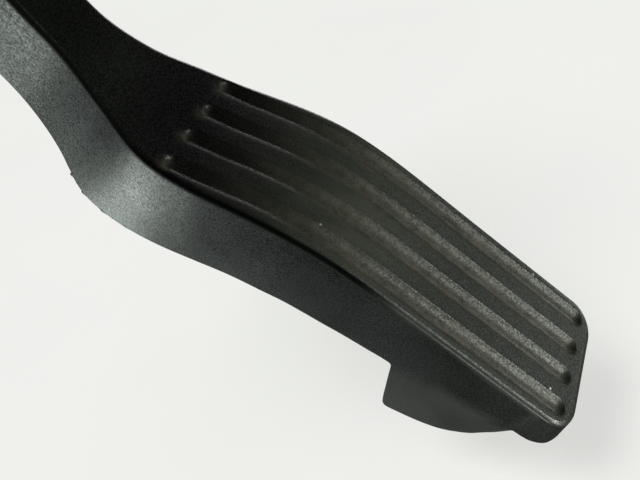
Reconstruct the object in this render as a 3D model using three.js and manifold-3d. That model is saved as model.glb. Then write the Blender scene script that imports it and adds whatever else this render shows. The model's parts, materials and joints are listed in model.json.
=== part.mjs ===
// Suspended foot pedal with a position sensor: a swan-necked moulded lever that turns on a steel
// shaft in a bolt-on housing.
// Millimetres. +Z up as installed, +Y from the driver towards the bulkhead, +X to the driver's right.
// The origin is the middle of the flat mounting face on the back of the housing (the plane y = 0).
import * as THREE from "three";
import { mergeVertices } from "three/addons/utils/BufferGeometryUtils.js";
import Module from "manifold-3d";

const wasm = await Module();
wasm.setup();
const { clamp, lerp, smoothstep, degToRad } = THREE.MathUtils;

// ---------- driving dimensions ----------
const PIVOT = { y: -46, z: 14 }; // shaft axis, parallel to X
const SHAFT_R = 4;
const CHEEK_IN = 27; // inner face of the housing's side cheeks
const CHEEK_OUT = 31;
const BUSH_R = 6.6;
const ACROSS = [-60, 60]; // x range of a cut right through the pedal

// Torsion springs; the wire radius and the mean coil radius are both radii, not diameters.
const SPRING = {
  mean: 12.9,
  wire: 1.2,
  pitch: 2.75,
  turns: 4.25,
  first: 11.9, // x of the first coil
  lowerLeg: 24, // straight leg down to the lever's ledge
  upperLeg: 25, // straight leg back under the housing's ledge
};
const LEDGE_OFFSET = SPRING.mean + SPRING.wire + 0.35; // from the pivot to a spring ledge's face

// ---------- helpers for solids; a range is [from, to] along an axis ----------
const range = (middle, half) => [middle - half, middle + half];
// The range between two distances from x = 0, on the -X or +X side.
const sideRange = (side, near, far) => (side < 0 ? [-far, -near] : [near, far]);
const join = (...parts) => parts.reduce((a, b) => a.add(b));

// Only positions are kept, so that coincident points weld.
const toSolid = ({ attributes, index }) => {
  const bare = new THREE.BufferGeometry()
    .setAttribute("position", attributes.position)
    .setIndex(index);
  const welded = mergeVertices(bare, 1e-4);
  const mesh = new wasm.Mesh({
    numProp: 3,
    vertProperties: new Float32Array(welded.attributes.position.array),
    triVerts: new Uint32Array(welded.index.array),
  });
  return new wasm.Manifold(mesh);
};
const toGeometry = (made) => {
  const { numProp, vertProperties, triVerts } = made.getMesh();
  const positions = new Float32Array((vertProperties.length / numProp) * 3);
  for (let i = 0; i < positions.length / 3; i++) {
    for (let k = 0; k < 3; k++) positions[i * 3 + k] = vertProperties[i * numProp + k];
  }
  return new THREE.BufferGeometry()
    .setAttribute("position", new THREE.BufferAttribute(positions, 3))
    .setIndex(new THREE.BufferAttribute(new Uint32Array(triVerts), 1));
};

const box = ([x0, x1], [y0, y1], [z0, z1]) => {
  const geometry = new THREE.BoxGeometry(x1 - x0, y1 - y0, z1 - z0);
  return toSolid(geometry.translate((x0 + x1) / 2, (y0 + y1) / 2, (z0 + z1) / 2));
};
const cylinderX = (radius, [x0, x1], y, z, segments) => {
  const geometry = new THREE.CylinderGeometry(radius, radius, x1 - x0, segments);
  return toSolid(geometry.rotateZ(-Math.PI / 2).translate((x0 + x1) / 2, y, z));
};
const cylinderY = (radius, [y0, y1], x, z) => {
  const geometry = new THREE.CylinderGeometry(radius, radius, y1 - y0, 20);
  return toSolid(geometry.translate(x, (y0 + y1) / 2, z));
};
const extrude = (points, depth) => {
  const shape = new THREE.Shape(points.map((p) => new THREE.Vector2(...p)));
  return new THREE.ExtrudeGeometry(shape, { depth, bevelEnabled: false });
};
// A profile in y and z, pushed along X.
const plateX = (points, [x0, x1]) => {
  const turn = new THREE.Matrix4().set(0, 0, 1, x0, 1, 0, 0, 0, 0, 1, 0, 0, 0, 0, 0, 1);
  return toSolid(extrude(points, x1 - x0).applyMatrix4(turn));
};

// A solid from points and triangles, turned right side out.
const outwardSolid = (points, triangles) => {
  const build = (list) => {
    const positions = new THREE.Float32BufferAttribute(points.flat(), 3);
    const geometry = new THREE.BufferGeometry().setAttribute("position", positions);
    return toSolid(geometry.setIndex(list.flat()));
  };
  const made = build(triangles);
  return made.volume() < 0 ? build(triangles.map(([a, b, c]) => [a, c, b])) : made;
};
// Triangles between two loops of n points, given each loop's first index.
const band = (from, to, n) =>
  Array.from({ length: n }, (_, j) => {
    const k = (j + 1) % n;
    return [[from + j, from + k, to + j], [from + k, to + k, to + j]];
  }).flat();
// A flat loop cut into triangles in its own plane.
const capTriangles = (loop) => {
  const origin = new THREE.Vector3(...loop[0]);
  const offsets = loop.map((p) => new THREE.Vector3(...p).sub(origin));
  const normal = new THREE.Vector3();
  offsets.forEach((offset, j) => {
    normal.add(offset.clone().cross(offsets[(j + 1) % loop.length]));
  });
  normal.normalize();
  const along = offsets[1].clone().normalize();
  const across = new THREE.Vector3().crossVectors(normal, along);
  const flat = offsets.map((offset) => new THREE.Vector2(offset.dot(along), offset.dot(across)));
  return THREE.ShapeUtils.triangulateShape(flat, []);
};
// A closed solid through a row of like loops of points.
const loft = (loops) => {
  const n = loops[0].length;
  const last = (loops.length - 1) * n;
  return outwardSolid(loops.flat(), [
    ...loops.slice(1).flatMap((_, i) => band(i * n, (i + 1) * n, n)),
    ...capTriangles(loops[0]).map(([a, b, c]) => [a, c, b]),
    ...capTriangles(loops.at(-1)).map((triangle) => triangle.map((k) => last + k)),
  ]);
};

// Points on an arc in y and z, between two angles in degrees.
const arc = (cy, cz, radius, from, to, steps) =>
  Array.from({ length: steps + 1 }, (_, i) => {
    const angle = degToRad(from + ((to - from) * i) / steps);
    return [cy + radius * Math.cos(angle), cz + radius * Math.sin(angle)];
  });

// ---------- helpers for shapes placed on the pivot axis ----------
const fromPivot = (points) => points.map(([y, z]) => [PIVOT.y + y, PIVOT.z + z]);
const disc = (radius, x, segments = 24) => cylinderX(radius, x, PIVOT.y, PIVOT.z, segments);
const ring = (inner, outer, [x0, x1], segments) =>
  disc(outer, [x0, x1], segments).subtract(disc(inner, [x0 - 1, x1 + 1], segments));
const roundedBlock = (x, halfY, corner, halfZ = halfY, z = PIVOT.z) => {
  const cornerAt = (signY, signZ, from) => {
    const cy = PIVOT.y + signY * (halfY - corner);
    return arc(cy, z + signZ * (halfZ - corner), corner, from, from + 90, 4);
  };
  const outline = [
    ...cornerAt(1, 1, 0), ...cornerAt(-1, 1, 90), ...cornerAt(-1, -1, 180), ...cornerAt(1, -1, 270),
  ];
  return plateX(outline, x);
};

// ---------- the lever's own coordinates ----------
// s along the top line from the toe, x across, n out of the top face.
const STEP = 15; // spacing of the knots of CURVATURE and HALF_WIDTH
const START_ANGLE = 0.97139; // slope of the top line at the toe, radians above horizontal
// Curvature of the top line at each knot, in 1/mm.
const CURVATURE = [
  -1.4, -0.3, 0.21, 0.23, 0.39, -1.99, -8.25, -12.8, -6.68, 10.6, 20.07, 12.81, 7.4, 3.39, 0.32,
  ...Array(7).fill(0),
].map((perMetre) => perMetre / 1000);
// Half width of the lever at each knot.
const HALF_WIDTH = [
  22.4, 22.38, 22.34, 22.28, 22.22, 22.22, 22.3, 22.5, 22.16, 21.38, 19.16, 13.66, 9.79, 9.4,
  ...Array(8).fill(9.3),
];
// Skirt depth, [s, depth], straight between the points.
const DEPTH = [
  [0, 9.14], [8, 15.6], [10.6, 16.1], [15, 18], [30, 21], [45, 24.3], [51.3, 25.75],
  [60, 27.05], [68, 28.3], [76, 29.8], [84, 30.8], [92, 31.6], [100, 32.3], [108, 32.7],
  [116, 33], [124, 33.5], [132, 34.6], [140, 36.8], [148, 39.2], [151, 40.1], [154, 40.8],
  [156.5, 40.95], [159, 39.9], [162, 36.8], [166, 33.1], [170, 31.2], [174, 30.35],
  [178, 30], [184, 29.9], [340, 29.9],
];
const LEAN = 0.565; // the toe wall leans out towards the toe by this much for each mm of depth
const LEAN_END = 14; // station where the lean has died out
const LEAN_FADE = 10; // length over which it dies out
const HUB_R = 15;
const HUB_S = 285; // distance of the hub along the top line
const LINE_STEP = 0.25; // step used to trace the top line

const TOP_LINE = (() => {
  const points = [{ y: 0, z: 0, angle: START_ANGLE }];
  const count = ((CURVATURE.length - 1) * STEP) / LINE_STEP;
  for (let i = 1; i <= count; i++) {
    const place = ((i - 0.5) * LINE_STEP) / STEP;
    const k = Math.floor(place);
    const turn = lerp(CURVATURE[k], CURVATURE[k + 1], place - k) * LINE_STEP;
    const { y, z, angle } = points[i - 1];
    const middle = angle + turn / 2;
    points.push({
      y: y + Math.cos(middle) * LINE_STEP,
      z: z + Math.sin(middle) * LINE_STEP,
      angle: angle + turn,
    });
  }
  return points;
})();
// [y, z] of a point, measured from the toe. The line runs on straight before the toe.
const fromToe = (s, n) => {
  const place = Math.max(s / LINE_STEP, 0);
  const i = Math.floor(place);
  const [p, q] = [TOP_LINE[i], TOP_LINE[i + 1]];
  const part = place - i;
  const angle = lerp(p.angle, q.angle, part);
  const before = Math.min(s, 0);
  return [
    lerp(p.y, q.y, part) - n * Math.sin(angle) + before * Math.cos(angle),
    lerp(p.z, q.z, part) + n * Math.cos(angle) + before * Math.sin(angle),
  ];
};
const HUB = fromToe(HUB_S, -HUB_R);
const leverYZ = (s, n) => {
  const [y, z] = fromToe(s, n);
  return [y - HUB[0] + PIVOT.y, z - HUB[1] + PIVOT.z];
};
const leverPoint = (s, x, n) => [x, ...leverYZ(s, n)];
const leverPlate = (points, x) => plateX(points.map(([s, n]) => leverYZ(s, n)), x);

// A measure that falls off round a corner of the given radius at s = 0.
const roundedEnd = (full, s, radius) =>
  s < radius ? full - radius + Math.sqrt(Math.max(0, radius ** 2 - (radius - s) ** 2)) : full;
// Half width without the toe corners: a Catmull-Rom curve through the knots.
const squareHalfWidth = (s) => {
  const i = Math.floor(s / STEP);
  const u = s / STEP - i;
  const [p1, p2, p3] = HALF_WIDTH.slice(i, i + 3);
  const p0 = HALF_WIDTH[Math.max(i - 1, 0)];
  const square = (2 * p0 - 5 * p1 + 4 * p2 - p3) * u * u;
  const cubic = (3 * p1 - p0 - 3 * p2 + p3) * u ** 3;
  return 0.5 * (2 * p1 + (p2 - p0) * u + square + cubic);
};
const TOE_R = 9.5; // corner radius of the toe in plan
const halfWidth = (s) => roundedEnd(squareHalfWidth(s), s, TOE_R);
const depth = (s) => {
  const i = DEPTH.findIndex(([end]) => end > s);
  const [[s0, depth0], [s1, depth1]] = [DEPTH[i - 1], DEPTH[i]];
  return depth0 + ((depth1 - depth0) * (s - s0)) / (s1 - s0);
};
// A loop of [x, n] points at one station, leaning with the toe wall.
const leaningLoop = (s, points) => {
  const share = smoothstep(LEAN_END - s, 0, LEAN_FADE);
  return points.map(([x, n]) => leverPoint(s + LEAN * n * share, x, n));
};
const levelLoop = (s, points) => points.map(([x, n]) => leverPoint(s, x, n));
const rectangle = (half, low, high) => [[-half, low], [-half, high], [half, high], [half, low]];
// Evenly spaced stations, no further apart than the gap.
const stations = (from, to, gap) => {
  const n = Math.ceil((to - from) / gap);
  return Array.from({ length: n + 1 }, (_, i) => from + ((to - from) * i) / n);
};

// ---------- lever shell ----------
const SKIN = 3; // pad skin thickness
const WALL = 2.6; // skirt thickness
const EDGE_R = 2; // rounding of the top edge
const EDGE_MIDDLE = 0.2929; // inset of the middle of a rounded edge, per unit radius
const CAVITY_N = -60; // open bottom of the cavity, clear below the skirts
const PAD_STATIONS = [...stations(15, 90, 9.4), ...stations(97.5, 135, 7.5)];

const outerLoop = (s) => {
  const half = halfWidth(s);
  const low = -depth(s);
  const top = roundedEnd(0, s, EDGE_R);
  const edge = EDGE_R + top; // what is left of the rounding at this station
  const inset = edge * EDGE_MIDDLE;
  return leaningLoop(s, [
    [-half, low],
    [-half, -EDGE_R - 0.02],
    [-half + inset, top - inset - 0.01],
    [-half + edge, top],
    [half - edge, top],
    [half - inset, top - inset - 0.01],
    [half, -EDGE_R - 0.02],
    [half, low],
  ]);
};
const innerLoop = (s) => {
  const half = roundedEnd(squareHalfWidth(s) - WALL, s - WALL, TOE_R - WALL);
  return leaningLoop(s, rectangle(half, CAVITY_N, -SKIN));
};
const outer = () => {
  const neck = [142, 148, 152, 156.5, 159, 162, 166, 170, 176, ...stations(182, 192, 5)];
  const toe = [0, 0.6, 2, 4.5, 7, 9.5, 12];
  return loft([...toe, ...PAD_STATIONS, ...neck, ...stations(200, HUB_S, 17)].map(outerLoop));
};
const cavity = () => {
  const toe = [WALL, 3.4, 5.2, 7.2, 9.5, 12];
  const neck = [142.5, 150, ...stations(156, 192, 6)];
  return loft([...toe, ...PAD_STATIONS, ...neck, ...stations(200, 268, 17)].map(innerLoop));
};
// Outline of the stop lug under the toe, [s, n].
const LUG = [
  [50.4, -22], [50.4, -26], [44, -36.55], [38, -46.7], [36, -49.5], [34.4, -50.5],
  [33, -50.35], [29, -48.85], [23, -46.25], [17, -42.3], [13, -36.8], [11, -32.5],
  [10, -27.5], [9, -22.7], [8, -16.8], [8, -12],
];
const LUG_HALF_WIDTH = 22;

// ---------- lever ribs ----------
const RIB_TOP = -SKIN + 0.3; // ribs run this far up, into the skin
const RIB_IN_WALL = 0.3; // and this far into the skirts
const CROSS_RIBS = [60, 80, 100, 120, 140].map((s) => [s, -depth(s) + 4]); // [s, lower edge n]
const LUG_RIBS = [[15, -36.4], [23, -42.6], [31, -46.4]]; // [s, lower edge n]
// Outline of the wall inside the lug's edge away from the toe, [s, n].
const HEEL_WALL = [
  [50.4, -25.3], [43.9, -36], [37.3, -47.2], [35.0, -45.6], [41.7, -34.6], [47.6, -24.9],
  [47.6, -SKIN + 0.4], [50.0, -SKIN + 0.4],
];
const ZIGZAG = [152, 163, 176, 191, 206, 221, 236]; // stations where the zigzag meets the skirts

const keel = () =>
  loft(stations(3.4, 150, 7.5).map((s) => levelLoop(s, rectangle(1, -depth(s) + 5, RIB_TOP))));
const crossRib = ([s, low]) => {
  const outline = rectangle(halfWidth(s) - WALL + RIB_IN_WALL, low, RIB_TOP);
  return loft(range(s, 1).map((face) => levelLoop(face, outline)));
};
const zigzagRib = (from, i) => {
  const to = ZIGZAG[i + 1];
  const side = i % 2 ? 1 : -1;
  const half = Math.min(halfWidth(from), halfWidth(to)) - WALL + 0.5;
  const loops = [0, 0.25, 0.5, 0.75, 1].map((t) => {
    const s = from + (to - from) * t;
    const x = side * half * (1 - 2 * t);
    return rectangle(1.1, -depth(s) + 3, RIB_TOP).map(([ds, n]) => leverPoint(s + ds, x, n));
  });
  return loft(loops);
};
const ribs = () => [
  keel(),
  ...[...CROSS_RIBS, ...LUG_RIBS].map(crossRib),
  leverPlate(HEEL_WALL, [-20, 20]),
  ...ZIGZAG.slice(0, -1).map(zigzagRib),
];

// ---------- lever hub, stops and grooves ----------
const BARREL = { radius: 9.5, halfLength: 24 };
// The tail that meets the idle bumper, [y, z] from the pivot.
const TAIL = [[-6, 11], [6, 20], [14, 22], [27.7, 22], [27.7, 11], [16, 3], [6, -4]];
const GROOVE = { from: 4.7, to: 143.7, half: 2.9, deep: 1.35, pitch: 11, above: 1.2 };
const GROOVE_ENDS = [0.15, 0.8, GROOVE.half]; // distances from a groove's end

// The closed pad that meets the full-travel bumper.
const stopPad = () =>
  loft(stations(238, 256, 9).map((s) => levelLoop(s, rectangle(8, -30, -26.5))));
const hubParts = () => [
  disc(HUB_R, range(0, HALF_WIDTH.at(-1)), 32),
  disc(BARREL.radius, range(0, BARREL.halfLength)),
  plateX(fromPivot(TAIL), [-7.5, 7.5]),
];
// Ledge that a spring's lower leg pushes on.
const leverLedge = (side) =>
  box(
    sideRange(side, 8.5, 13.3),
    [PIVOT.y - 18.9, PIVOT.y - LEDGE_OFFSET],
    [PIVOT.z - 29, PIVOT.z - 19],
  );
// Tread groove with rounded ends, scooped out of the top.
const groove = (middle) => {
  const { from, to, half, deep, above } = GROOVE;
  const start = GROOVE_ENDS.map((e) => from + e);
  const end = GROOVE_ENDS.toReversed().map((e) => to - e);
  const loops = [...start, ...PAD_STATIONS, ...end].map((s) => {
    const e = Math.min(s - from, to - s);
    const scale = e < half ? Math.sqrt(1 - (1 - e / half) ** 2) : 1;
    const w = half * scale;
    const d = deep * scale;
    const outline = [
      [-w, above], [-w, 0], [-w * 0.55, -d * 0.72], [0, -d], [w * 0.55, -d * 0.72], [w, 0],
      [w, above],
    ];
    return levelLoop(s, outline.map(([x, n]) => [middle + x, n]));
  });
  return loft(loops);
};
const pedalArm = () => {
  const shell = outer().add(leverPlate(LUG, range(0, LUG_HALF_WIDTH))).subtract(cavity());
  let arm = join(shell, ...ribs(), stopPad(), ...hubParts(), leverLedge(-1), leverLedge(1));
  arm = arm.subtract(disc(SHAFT_R + 0.3, ACROSS));
  for (const k of [-1.5, -0.5, 0.5, 1.5]) arm = arm.subtract(groove(k * GROOVE.pitch));
  return arm;
};

// ---------- shaft, bushes, washers, sleeves ----------
const FLANGE_IN = 25.8; // inner face of a bush flange

// The shaft has a groove for the clip near its -X end.
const shaft = () =>
  join(disc(SHAFT_R, [-32.4, 35]), disc(3.2, [-33.8, -32.3]), disc(SHAFT_R, [-35.2, -33.7]));
const clip = () =>
  ring(3.5, 7, [-33.55, -32.65])
    .subtract(box([-34, -32], range(PIVOT.y, 2.6), [PIVOT.z - 9, PIVOT.z]));
const bush = (side) =>
  join(
    disc(BUSH_R, sideRange(side, FLANGE_IN, CHEEK_OUT)),
    disc(9, sideRange(side, FLANGE_IN, 26.9)),
  ).subtract(disc(SHAFT_R + 0.35, ACROSS));
const frictionWasher = () => ring(4.4, 9.3, [24.3, 25.5]);
const springSleeve = (side) => ring(9.85, 10.9, sideRange(side, 10.4, 23.8));

// Washer with three waves round it.
const WAVE = { inner: 4.7, outer: 9.0, halfThickness: 0.2, x: -24.9, height: 0.28, steps: 36 };
const waveWasher = () => {
  const { inner, outer: rim, halfThickness: half, steps } = WAVE;
  const loops = Array.from({ length: steps }, (_, i) => {
    const angle = (i / steps) * Math.PI * 2;
    const middle = WAVE.x + WAVE.height * Math.cos(3 * angle);
    return [[inner, -half], [rim, -half], [rim, half], [inner, half]].map(([radius, dx]) => [
      middle + dx,
      PIVOT.y + radius * Math.cos(angle),
      PIVOT.z + radius * Math.sin(angle),
    ]);
  });
  const triangles = loops.flatMap((_, i) => band(i * 4, ((i + 1) % steps) * 4, 4));
  return outwardSolid(loops.flat(), triangles);
};

// ---------- return springs: close-wound torsion springs, one each side of the lever ----------
class SpringLine extends THREE.Curve {
  constructor(side) {
    super();
    const { mean, turns, pitch, lowerLeg, upperLeg } = SPRING;
    this.side = side;
    this.coil = Math.hypot(2 * Math.PI * mean * turns, pitch * turns);
    this.total = lowerLeg + this.coil + upperLeg;
  }
  getPoint(t, target = new THREE.Vector3()) {
    const { mean, turns, pitch, first, lowerLeg } = SPRING;
    const length = t * this.total;
    if (length < lowerLeg) {
      return target.set(this.side * first, PIVOT.y - mean, PIVOT.z - (lowerLeg - length));
    }
    const wound = (length - lowerLeg) / this.coil;
    if (wound < 1) {
      const angle = Math.PI - wound * turns * 2 * Math.PI;
      return target.set(
        this.side * (first + wound * turns * pitch),
        PIVOT.y + mean * Math.cos(angle),
        PIVOT.z + mean * Math.sin(angle),
      );
    }
    const past = length - lowerLeg - this.coil;
    return target.set(this.side * (first + turns * pitch), PIVOT.y + past, PIVOT.z + mean);
  }
}
const spring = (side) => {
  const corners = Array.from({ length: 5 }, (_, i) => {
    const angle = i * 0.4 * Math.PI;
    return new THREE.Vector2(SPRING.wire * Math.cos(angle), SPRING.wire * Math.sin(angle));
  });
  const options = { steps: 66, bevelEnabled: false, extrudePath: new SpringLine(side) };
  return toSolid(new THREE.ExtrudeGeometry(new THREE.Shape(corners), options));
};

// ---------- housing ----------
const PLATE_T = 5; // mounting plate thickness
const IN_PLATE = -PLATE_T + 0.5; // y of parts that sink into the plate
const EARS = [[-40, 36], [-40, -34], [40, -34]]; // ear centres, [x, z]
const EAR = { radius: 9.5, bossRadius: 8, bossFront: -9, hole: 5.6 };
const NOSE_R = 24.5; // round front of the cheeks
const ROOF = { top: 48, thick: 3 };
const CHEEK_BACK = -3; // y where the cheeks and roof end, inside the plate
const CHEEK_FOOT = -36;
const CHAMBER = { half: 24.5, corner: 8, outer: 36 }; // sensor chamber on the +X cheek
const SCREW_OFFSET = 22.3; // cover screws, from the pivot in y and z
const SCREWS = fromPivot([[1, 1], [-1, 1], [-1, -1], [1, -1]].map((signs) =>
  signs.map((sign) => sign * SCREW_OFFSET)));
const POST_R = 4.6; // round lugs at the cover screws
// Bumpers on x = 0: face is the front of the boss, the stem and its hole run back from it.
const FULL_STOP = { z: -33, face: -21.5, head: 6, stem: 2.3, stemEnd: -14, hole: 2.6, holeEnd: -12 };
const IDLE_STOP = { z: 30.5, face: -11, head: 5.6, stem: 2, stemEnd: -7.5, hole: 2.3, holeEnd: -6.5 };
// Flat webs from a cheek out to the plate, [x at cheek, x at tip, lower face z, reach forwards].
const GUSSETS = [[-30.5, -46, 24, 26], [-30.5, -46, -26, 20], [-30.5, -38, 0, 22], [30.5, 46, -26, 14]];

const atScrews = (radius, x, segments) =>
  join(...SCREWS.map(([y, z]) => cylinderX(radius, x, y, z, segments)));
const ear = ([x, z]) =>
  join(
    cylinderY(EAR.radius, [-PLATE_T, 0], x, z),
    box(sideRange(Math.sign(x), 30, Math.abs(x)), [-PLATE_T, 0], range(z, EAR.radius)),
    cylinderY(EAR.bossRadius, [EAR.bossFront, IN_PLATE], x, z),
  );
const mountingPlate = () =>
  join(box([-CHEEK_OUT, CHEEK_OUT], [-PLATE_T, 0], [-46, 50]), ...EARS.map(ear));
const cheek = (side) => {
  const outline = [
    [CHEEK_BACK, ROOF.top],
    [-32, ROOF.top],
    ...arc(PIVOT.y, PIVOT.z, NOSE_R, 105, 240, 10),
    [CHEEK_BACK, CHEEK_FOOT],
  ];
  return plateX(outline, sideRange(side, CHEEK_IN, CHEEK_OUT));
};
const roof = () => {
  const under = ROOF.top - ROOF.thick;
  const outline = [
    [CHEEK_BACK, ROOF.top],
    [-32, ROOF.top],
    ...arc(PIVOT.y, PIVOT.z, NOSE_R, 105, 185, 8),
    ...arc(PIVOT.y, PIVOT.z, NOSE_R - ROOF.thick, 105, 185, 8).reverse(),
    [-31.3, under],
    [CHEEK_BACK, under],
  ];
  return plateX(outline, range(0, CHEEK_IN + 0.5));
};
// Ledge that a spring's upper leg bears on.
const housingLedge = (side) =>
  box(
    sideRange(side, 21.6, 27.5),
    [PIVOT.y + 12, PIVOT.y + 25],
    [PIVOT.z + LEDGE_OFFSET, PIVOT.z + 17.8],
  );
// Triangular web under the lower stop boss.
const bossWeb = (side) =>
  plateX([[IN_PLATE, -36], [IN_PLATE, -46], [-21, -36]], sideRange(side, 11.5, 14));
const gusset = ([cheekX, tipX, z, reach]) => {
  const outline = [[cheekX, IN_PLATE], [tipX, IN_PLATE], [cheekX, IN_PLATE - reach]];
  return toSolid(extrude(outline, 2.4).translate(0, 0, z));
};
const stemHole = ({ z, face, hole, holeEnd }) => cylinderY(hole, [face - 1, holeEnd], 0, z);
const housing = () => {
  const body = join(
    mountingPlate(),
    cheek(-1),
    cheek(1),
    roof(),
    roundedBlock([CHEEK_IN, CHAMBER.outer], CHAMBER.half, CHAMBER.corner),
    atScrews(POST_R, [CHEEK_IN, CHAMBER.outer], 16),
  )
    .subtract(roundedBlock([CHEEK_OUT, 40], 21.5, 6))
    .subtract(atScrews(1.75, [30, 40], 10));
  const detailed = join(
    body,
    box([-8, 8], [FULL_STOP.face, -4], range(FULL_STOP.z, 8)),
    cylinderY(7.5, [IDLE_STOP.face, -4], 0, IDLE_STOP.z),
    ...[-1, 1].map(housingLedge),
    ...[-1, 1].map(bossWeb),
    ...GUSSETS.map(gusset),
  );
  const holes = [
    disc(BUSH_R + 0.3, ACROSS),
    stemHole(FULL_STOP),
    stemHole(IDLE_STOP),
    ...EARS.map(([x, z]) => cylinderY(EAR.hole, [-20, 5], x, z)),
  ];
  return holes.reduce((made, hole) => made.subtract(hole), detailed);
};

const mountingSleeve = ([x, z]) =>
  cylinderY(5.3, [-9.2, -0.05], x, z).subtract(cylinderY(3.4, [-20, 5], x, z));
const bumper = ({ z, face, head, stem, stemEnd }) =>
  join(
    cylinderY(head, [face - 7, face - 0.2], 0, z),
    cylinderY(stem, [face - 0.3, stemEnd], 0, z),
  );
const pivotCap = () => disc(13, [-39, -31.2], 28).subtract(disc(11, [-37, -30], 28));

// ---------- sensor, outside the +X cheek ----------
const COVER_X = 37; // inner face of the cover
const FLANGE_OUT = 39.5; // outer face of the cover's flange
const PIN_COUNT = 6;
const PIN_PITCH = 3.5;
const PIN_Y = Array.from(
  { length: PIN_COUNT },
  (_, i) => PIVOT.y + (i - (PIN_COUNT - 1) / 2) * PIN_PITCH,
);
// Connector socket, open at the top; half is its half width in y.
const SOCKET = { outer: 47.4, half: 13.6, wall: 1.8 };

const carrier = () => join(ring(4.35, 10, [31.7, 33.2]), ring(8.7, 10, [33.1, 36.2]));
const magnet = () => ring(4.7, 8.35, [33.5, 36.1]);
const gasket = () => {
  const x = [36.1, 36.9];
  return join(roundedBlock(x, 24.3, 7.8), atScrews(4.4, x, 14))
    .subtract(roundedBlock([35, 38], 21.8, 6.2))
    .subtract(atScrews(1.9, [35, 38], 10));
};
const board = () => roundedBlock([38.7, 40.2], 17.4, 3, 16.6, PIVOT.z - 1);
const hallSensor = (dy) => box([37.1, 38.5], range(PIVOT.y + dy, 2.6), range(PIVOT.z, 2.2));
// Upright pin with a foot towards the board.
const pin = (y) =>
  join(
    box([41, 41.9], range(y, 0.45), [24, 55]),
    box([40.35, 41.2], range(y, 0.45), [24, 25.4]),
  );
const cover = () => {
  const { outer: socketOut, half, wall } = SOCKET;
  const body = join(
    roundedBlock([COVER_X, FLANGE_OUT], CHAMBER.half, CHAMBER.corner),
    roundedBlock([39.2, 45], 21.2, 7),
    box([COVER_X, socketOut], range(PIVOT.y, half), [33, 59]),
    box([47.2, 48.9], range(PIVOT.y, 3), [44, 50]), // block on the socket's outer face
    atScrews(POST_R, [COVER_X, FLANGE_OUT], 16),
  );
  const cuts = [
    roundedBlock([36, 42.8], 18.9, 5),
    box([COVER_X + wall, socketOut - wall], range(PIVOT.y, half - wall), [41, 60]),
    ...PIN_Y.map((y) => box([40.7, 42.2], range(y, 0.75), [30, 45])),
    atScrews(2, [30, 60], 10),
  ];
  return cuts.reduce((made, cut) => made.subtract(cut), body);
};
// Cover screw with a hexagonal recess.
const screw = ([y, z]) =>
  join(cylinderX(3.3, [39.6, 41.8], y, z, 16), cylinderX(1.4, [31.6, 39.7], y, z, 10))
    .subtract(cylinderX(1.3, [40.8, 43], y, z, 6));

// ---------- materials; rgb is linear ----------
const material = ({ rgb, roughness, metalness = 0 }) =>
  new THREE.MeshStandardMaterial({ color: new THREE.Color(...rgb), roughness, metalness });
const armPlastic = material({ rgb: [0.045, 0.048, 0.043], roughness: 0.5 });
const housingPlastic = material({ rgb: [0.03, 0.031, 0.032], roughness: 0.55 });
const coverPlastic = material({ rgb: [0.035, 0.035, 0.037], roughness: 0.45 });
const rubber = material({ rgb: [0.02, 0.02, 0.02], roughness: 0.85 });
const steel = material({ rgb: [0.55, 0.56, 0.58], roughness: 0.32, metalness: 1 });
const springSteel = material({ rgb: [0.32, 0.33, 0.35], roughness: 0.38, metalness: 1 });
const acetal = material({ rgb: [0.78, 0.76, 0.7], roughness: 0.4 });
const magnetDark = material({ rgb: [0.12, 0.12, 0.13], roughness: 0.5, metalness: 0.6 });
const boardGreen = material({ rgb: [0.03, 0.16, 0.08], roughness: 0.5 });
const chipBlack = material({ rgb: [0.02, 0.02, 0.02], roughness: 0.45 });
const terminal = material({ rgb: [0.8, 0.68, 0.4], roughness: 0.3, metalness: 1 });
const sealRubber = material({ rgb: [0.35, 0.12, 0.05], roughness: 0.75 });

// ---------- assembly ----------
const groupOf = (pieces) => {
  const group = new THREE.Group();
  for (const [name, made, finish] of pieces) {
    const mesh = new THREE.Mesh(toGeometry(made), finish);
    mesh.name = name;
    group.add(mesh);
  }
  return group;
};
// One piece for each place, numbered from 1.
const numbered = (name, places, make, finish) =>
  places.map((place, i) => [`${name}_${i + 1}`, make(place), finish]);

// What turns with the lever, and its springs.
const pedal = groupOf([
  ["pedal_arm", pedalArm(), armPlastic],
  ["pivot_shaft", shaft(), steel],
  ["shaft_clip", clip(), springSteel],
  ["return_spring_left", spring(-1), springSteel],
  ["return_spring_right", spring(1), springSteel],
  ["spring_sleeve_left", springSleeve(-1), acetal],
  ["spring_sleeve_right", springSleeve(1), acetal],
  ["friction_washer", frictionWasher(), acetal],
  ["wave_washer", waveWasher(), springSteel],
  ["magnet_carrier", carrier(), chipBlack],
  ["ring_magnet", magnet(), magnetDark],
]);
const housingGroup = groupOf([
  ["housing", housing(), housingPlastic],
  ["bush_left", bush(-1), acetal],
  ["bush_right", bush(1), acetal],
  ["pivot_cap", pivotCap(), coverPlastic],
  ["idle_stop_bumper", bumper(IDLE_STOP), rubber],
  ["full_travel_bumper", bumper(FULL_STOP), rubber],
  ...numbered("mounting_sleeve", EARS, mountingSleeve, steel),
  ["cover_gasket", gasket(), sealRubber],
  ["sensor_board", board(), boardGreen],
  ...numbered("hall_sensor", [-4, 4], hallSensor, chipBlack),
  ...numbered("terminal_pin", PIN_Y, pin, terminal),
  ["sensor_cover", cover(), coverPlastic],
  ...numbered("cover_screw", SCREWS, screw, steel),
]);

const pedalModule = new THREE.Group();
pedalModule.add(housingGroup, pedal);
export default pedalModule;
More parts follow.
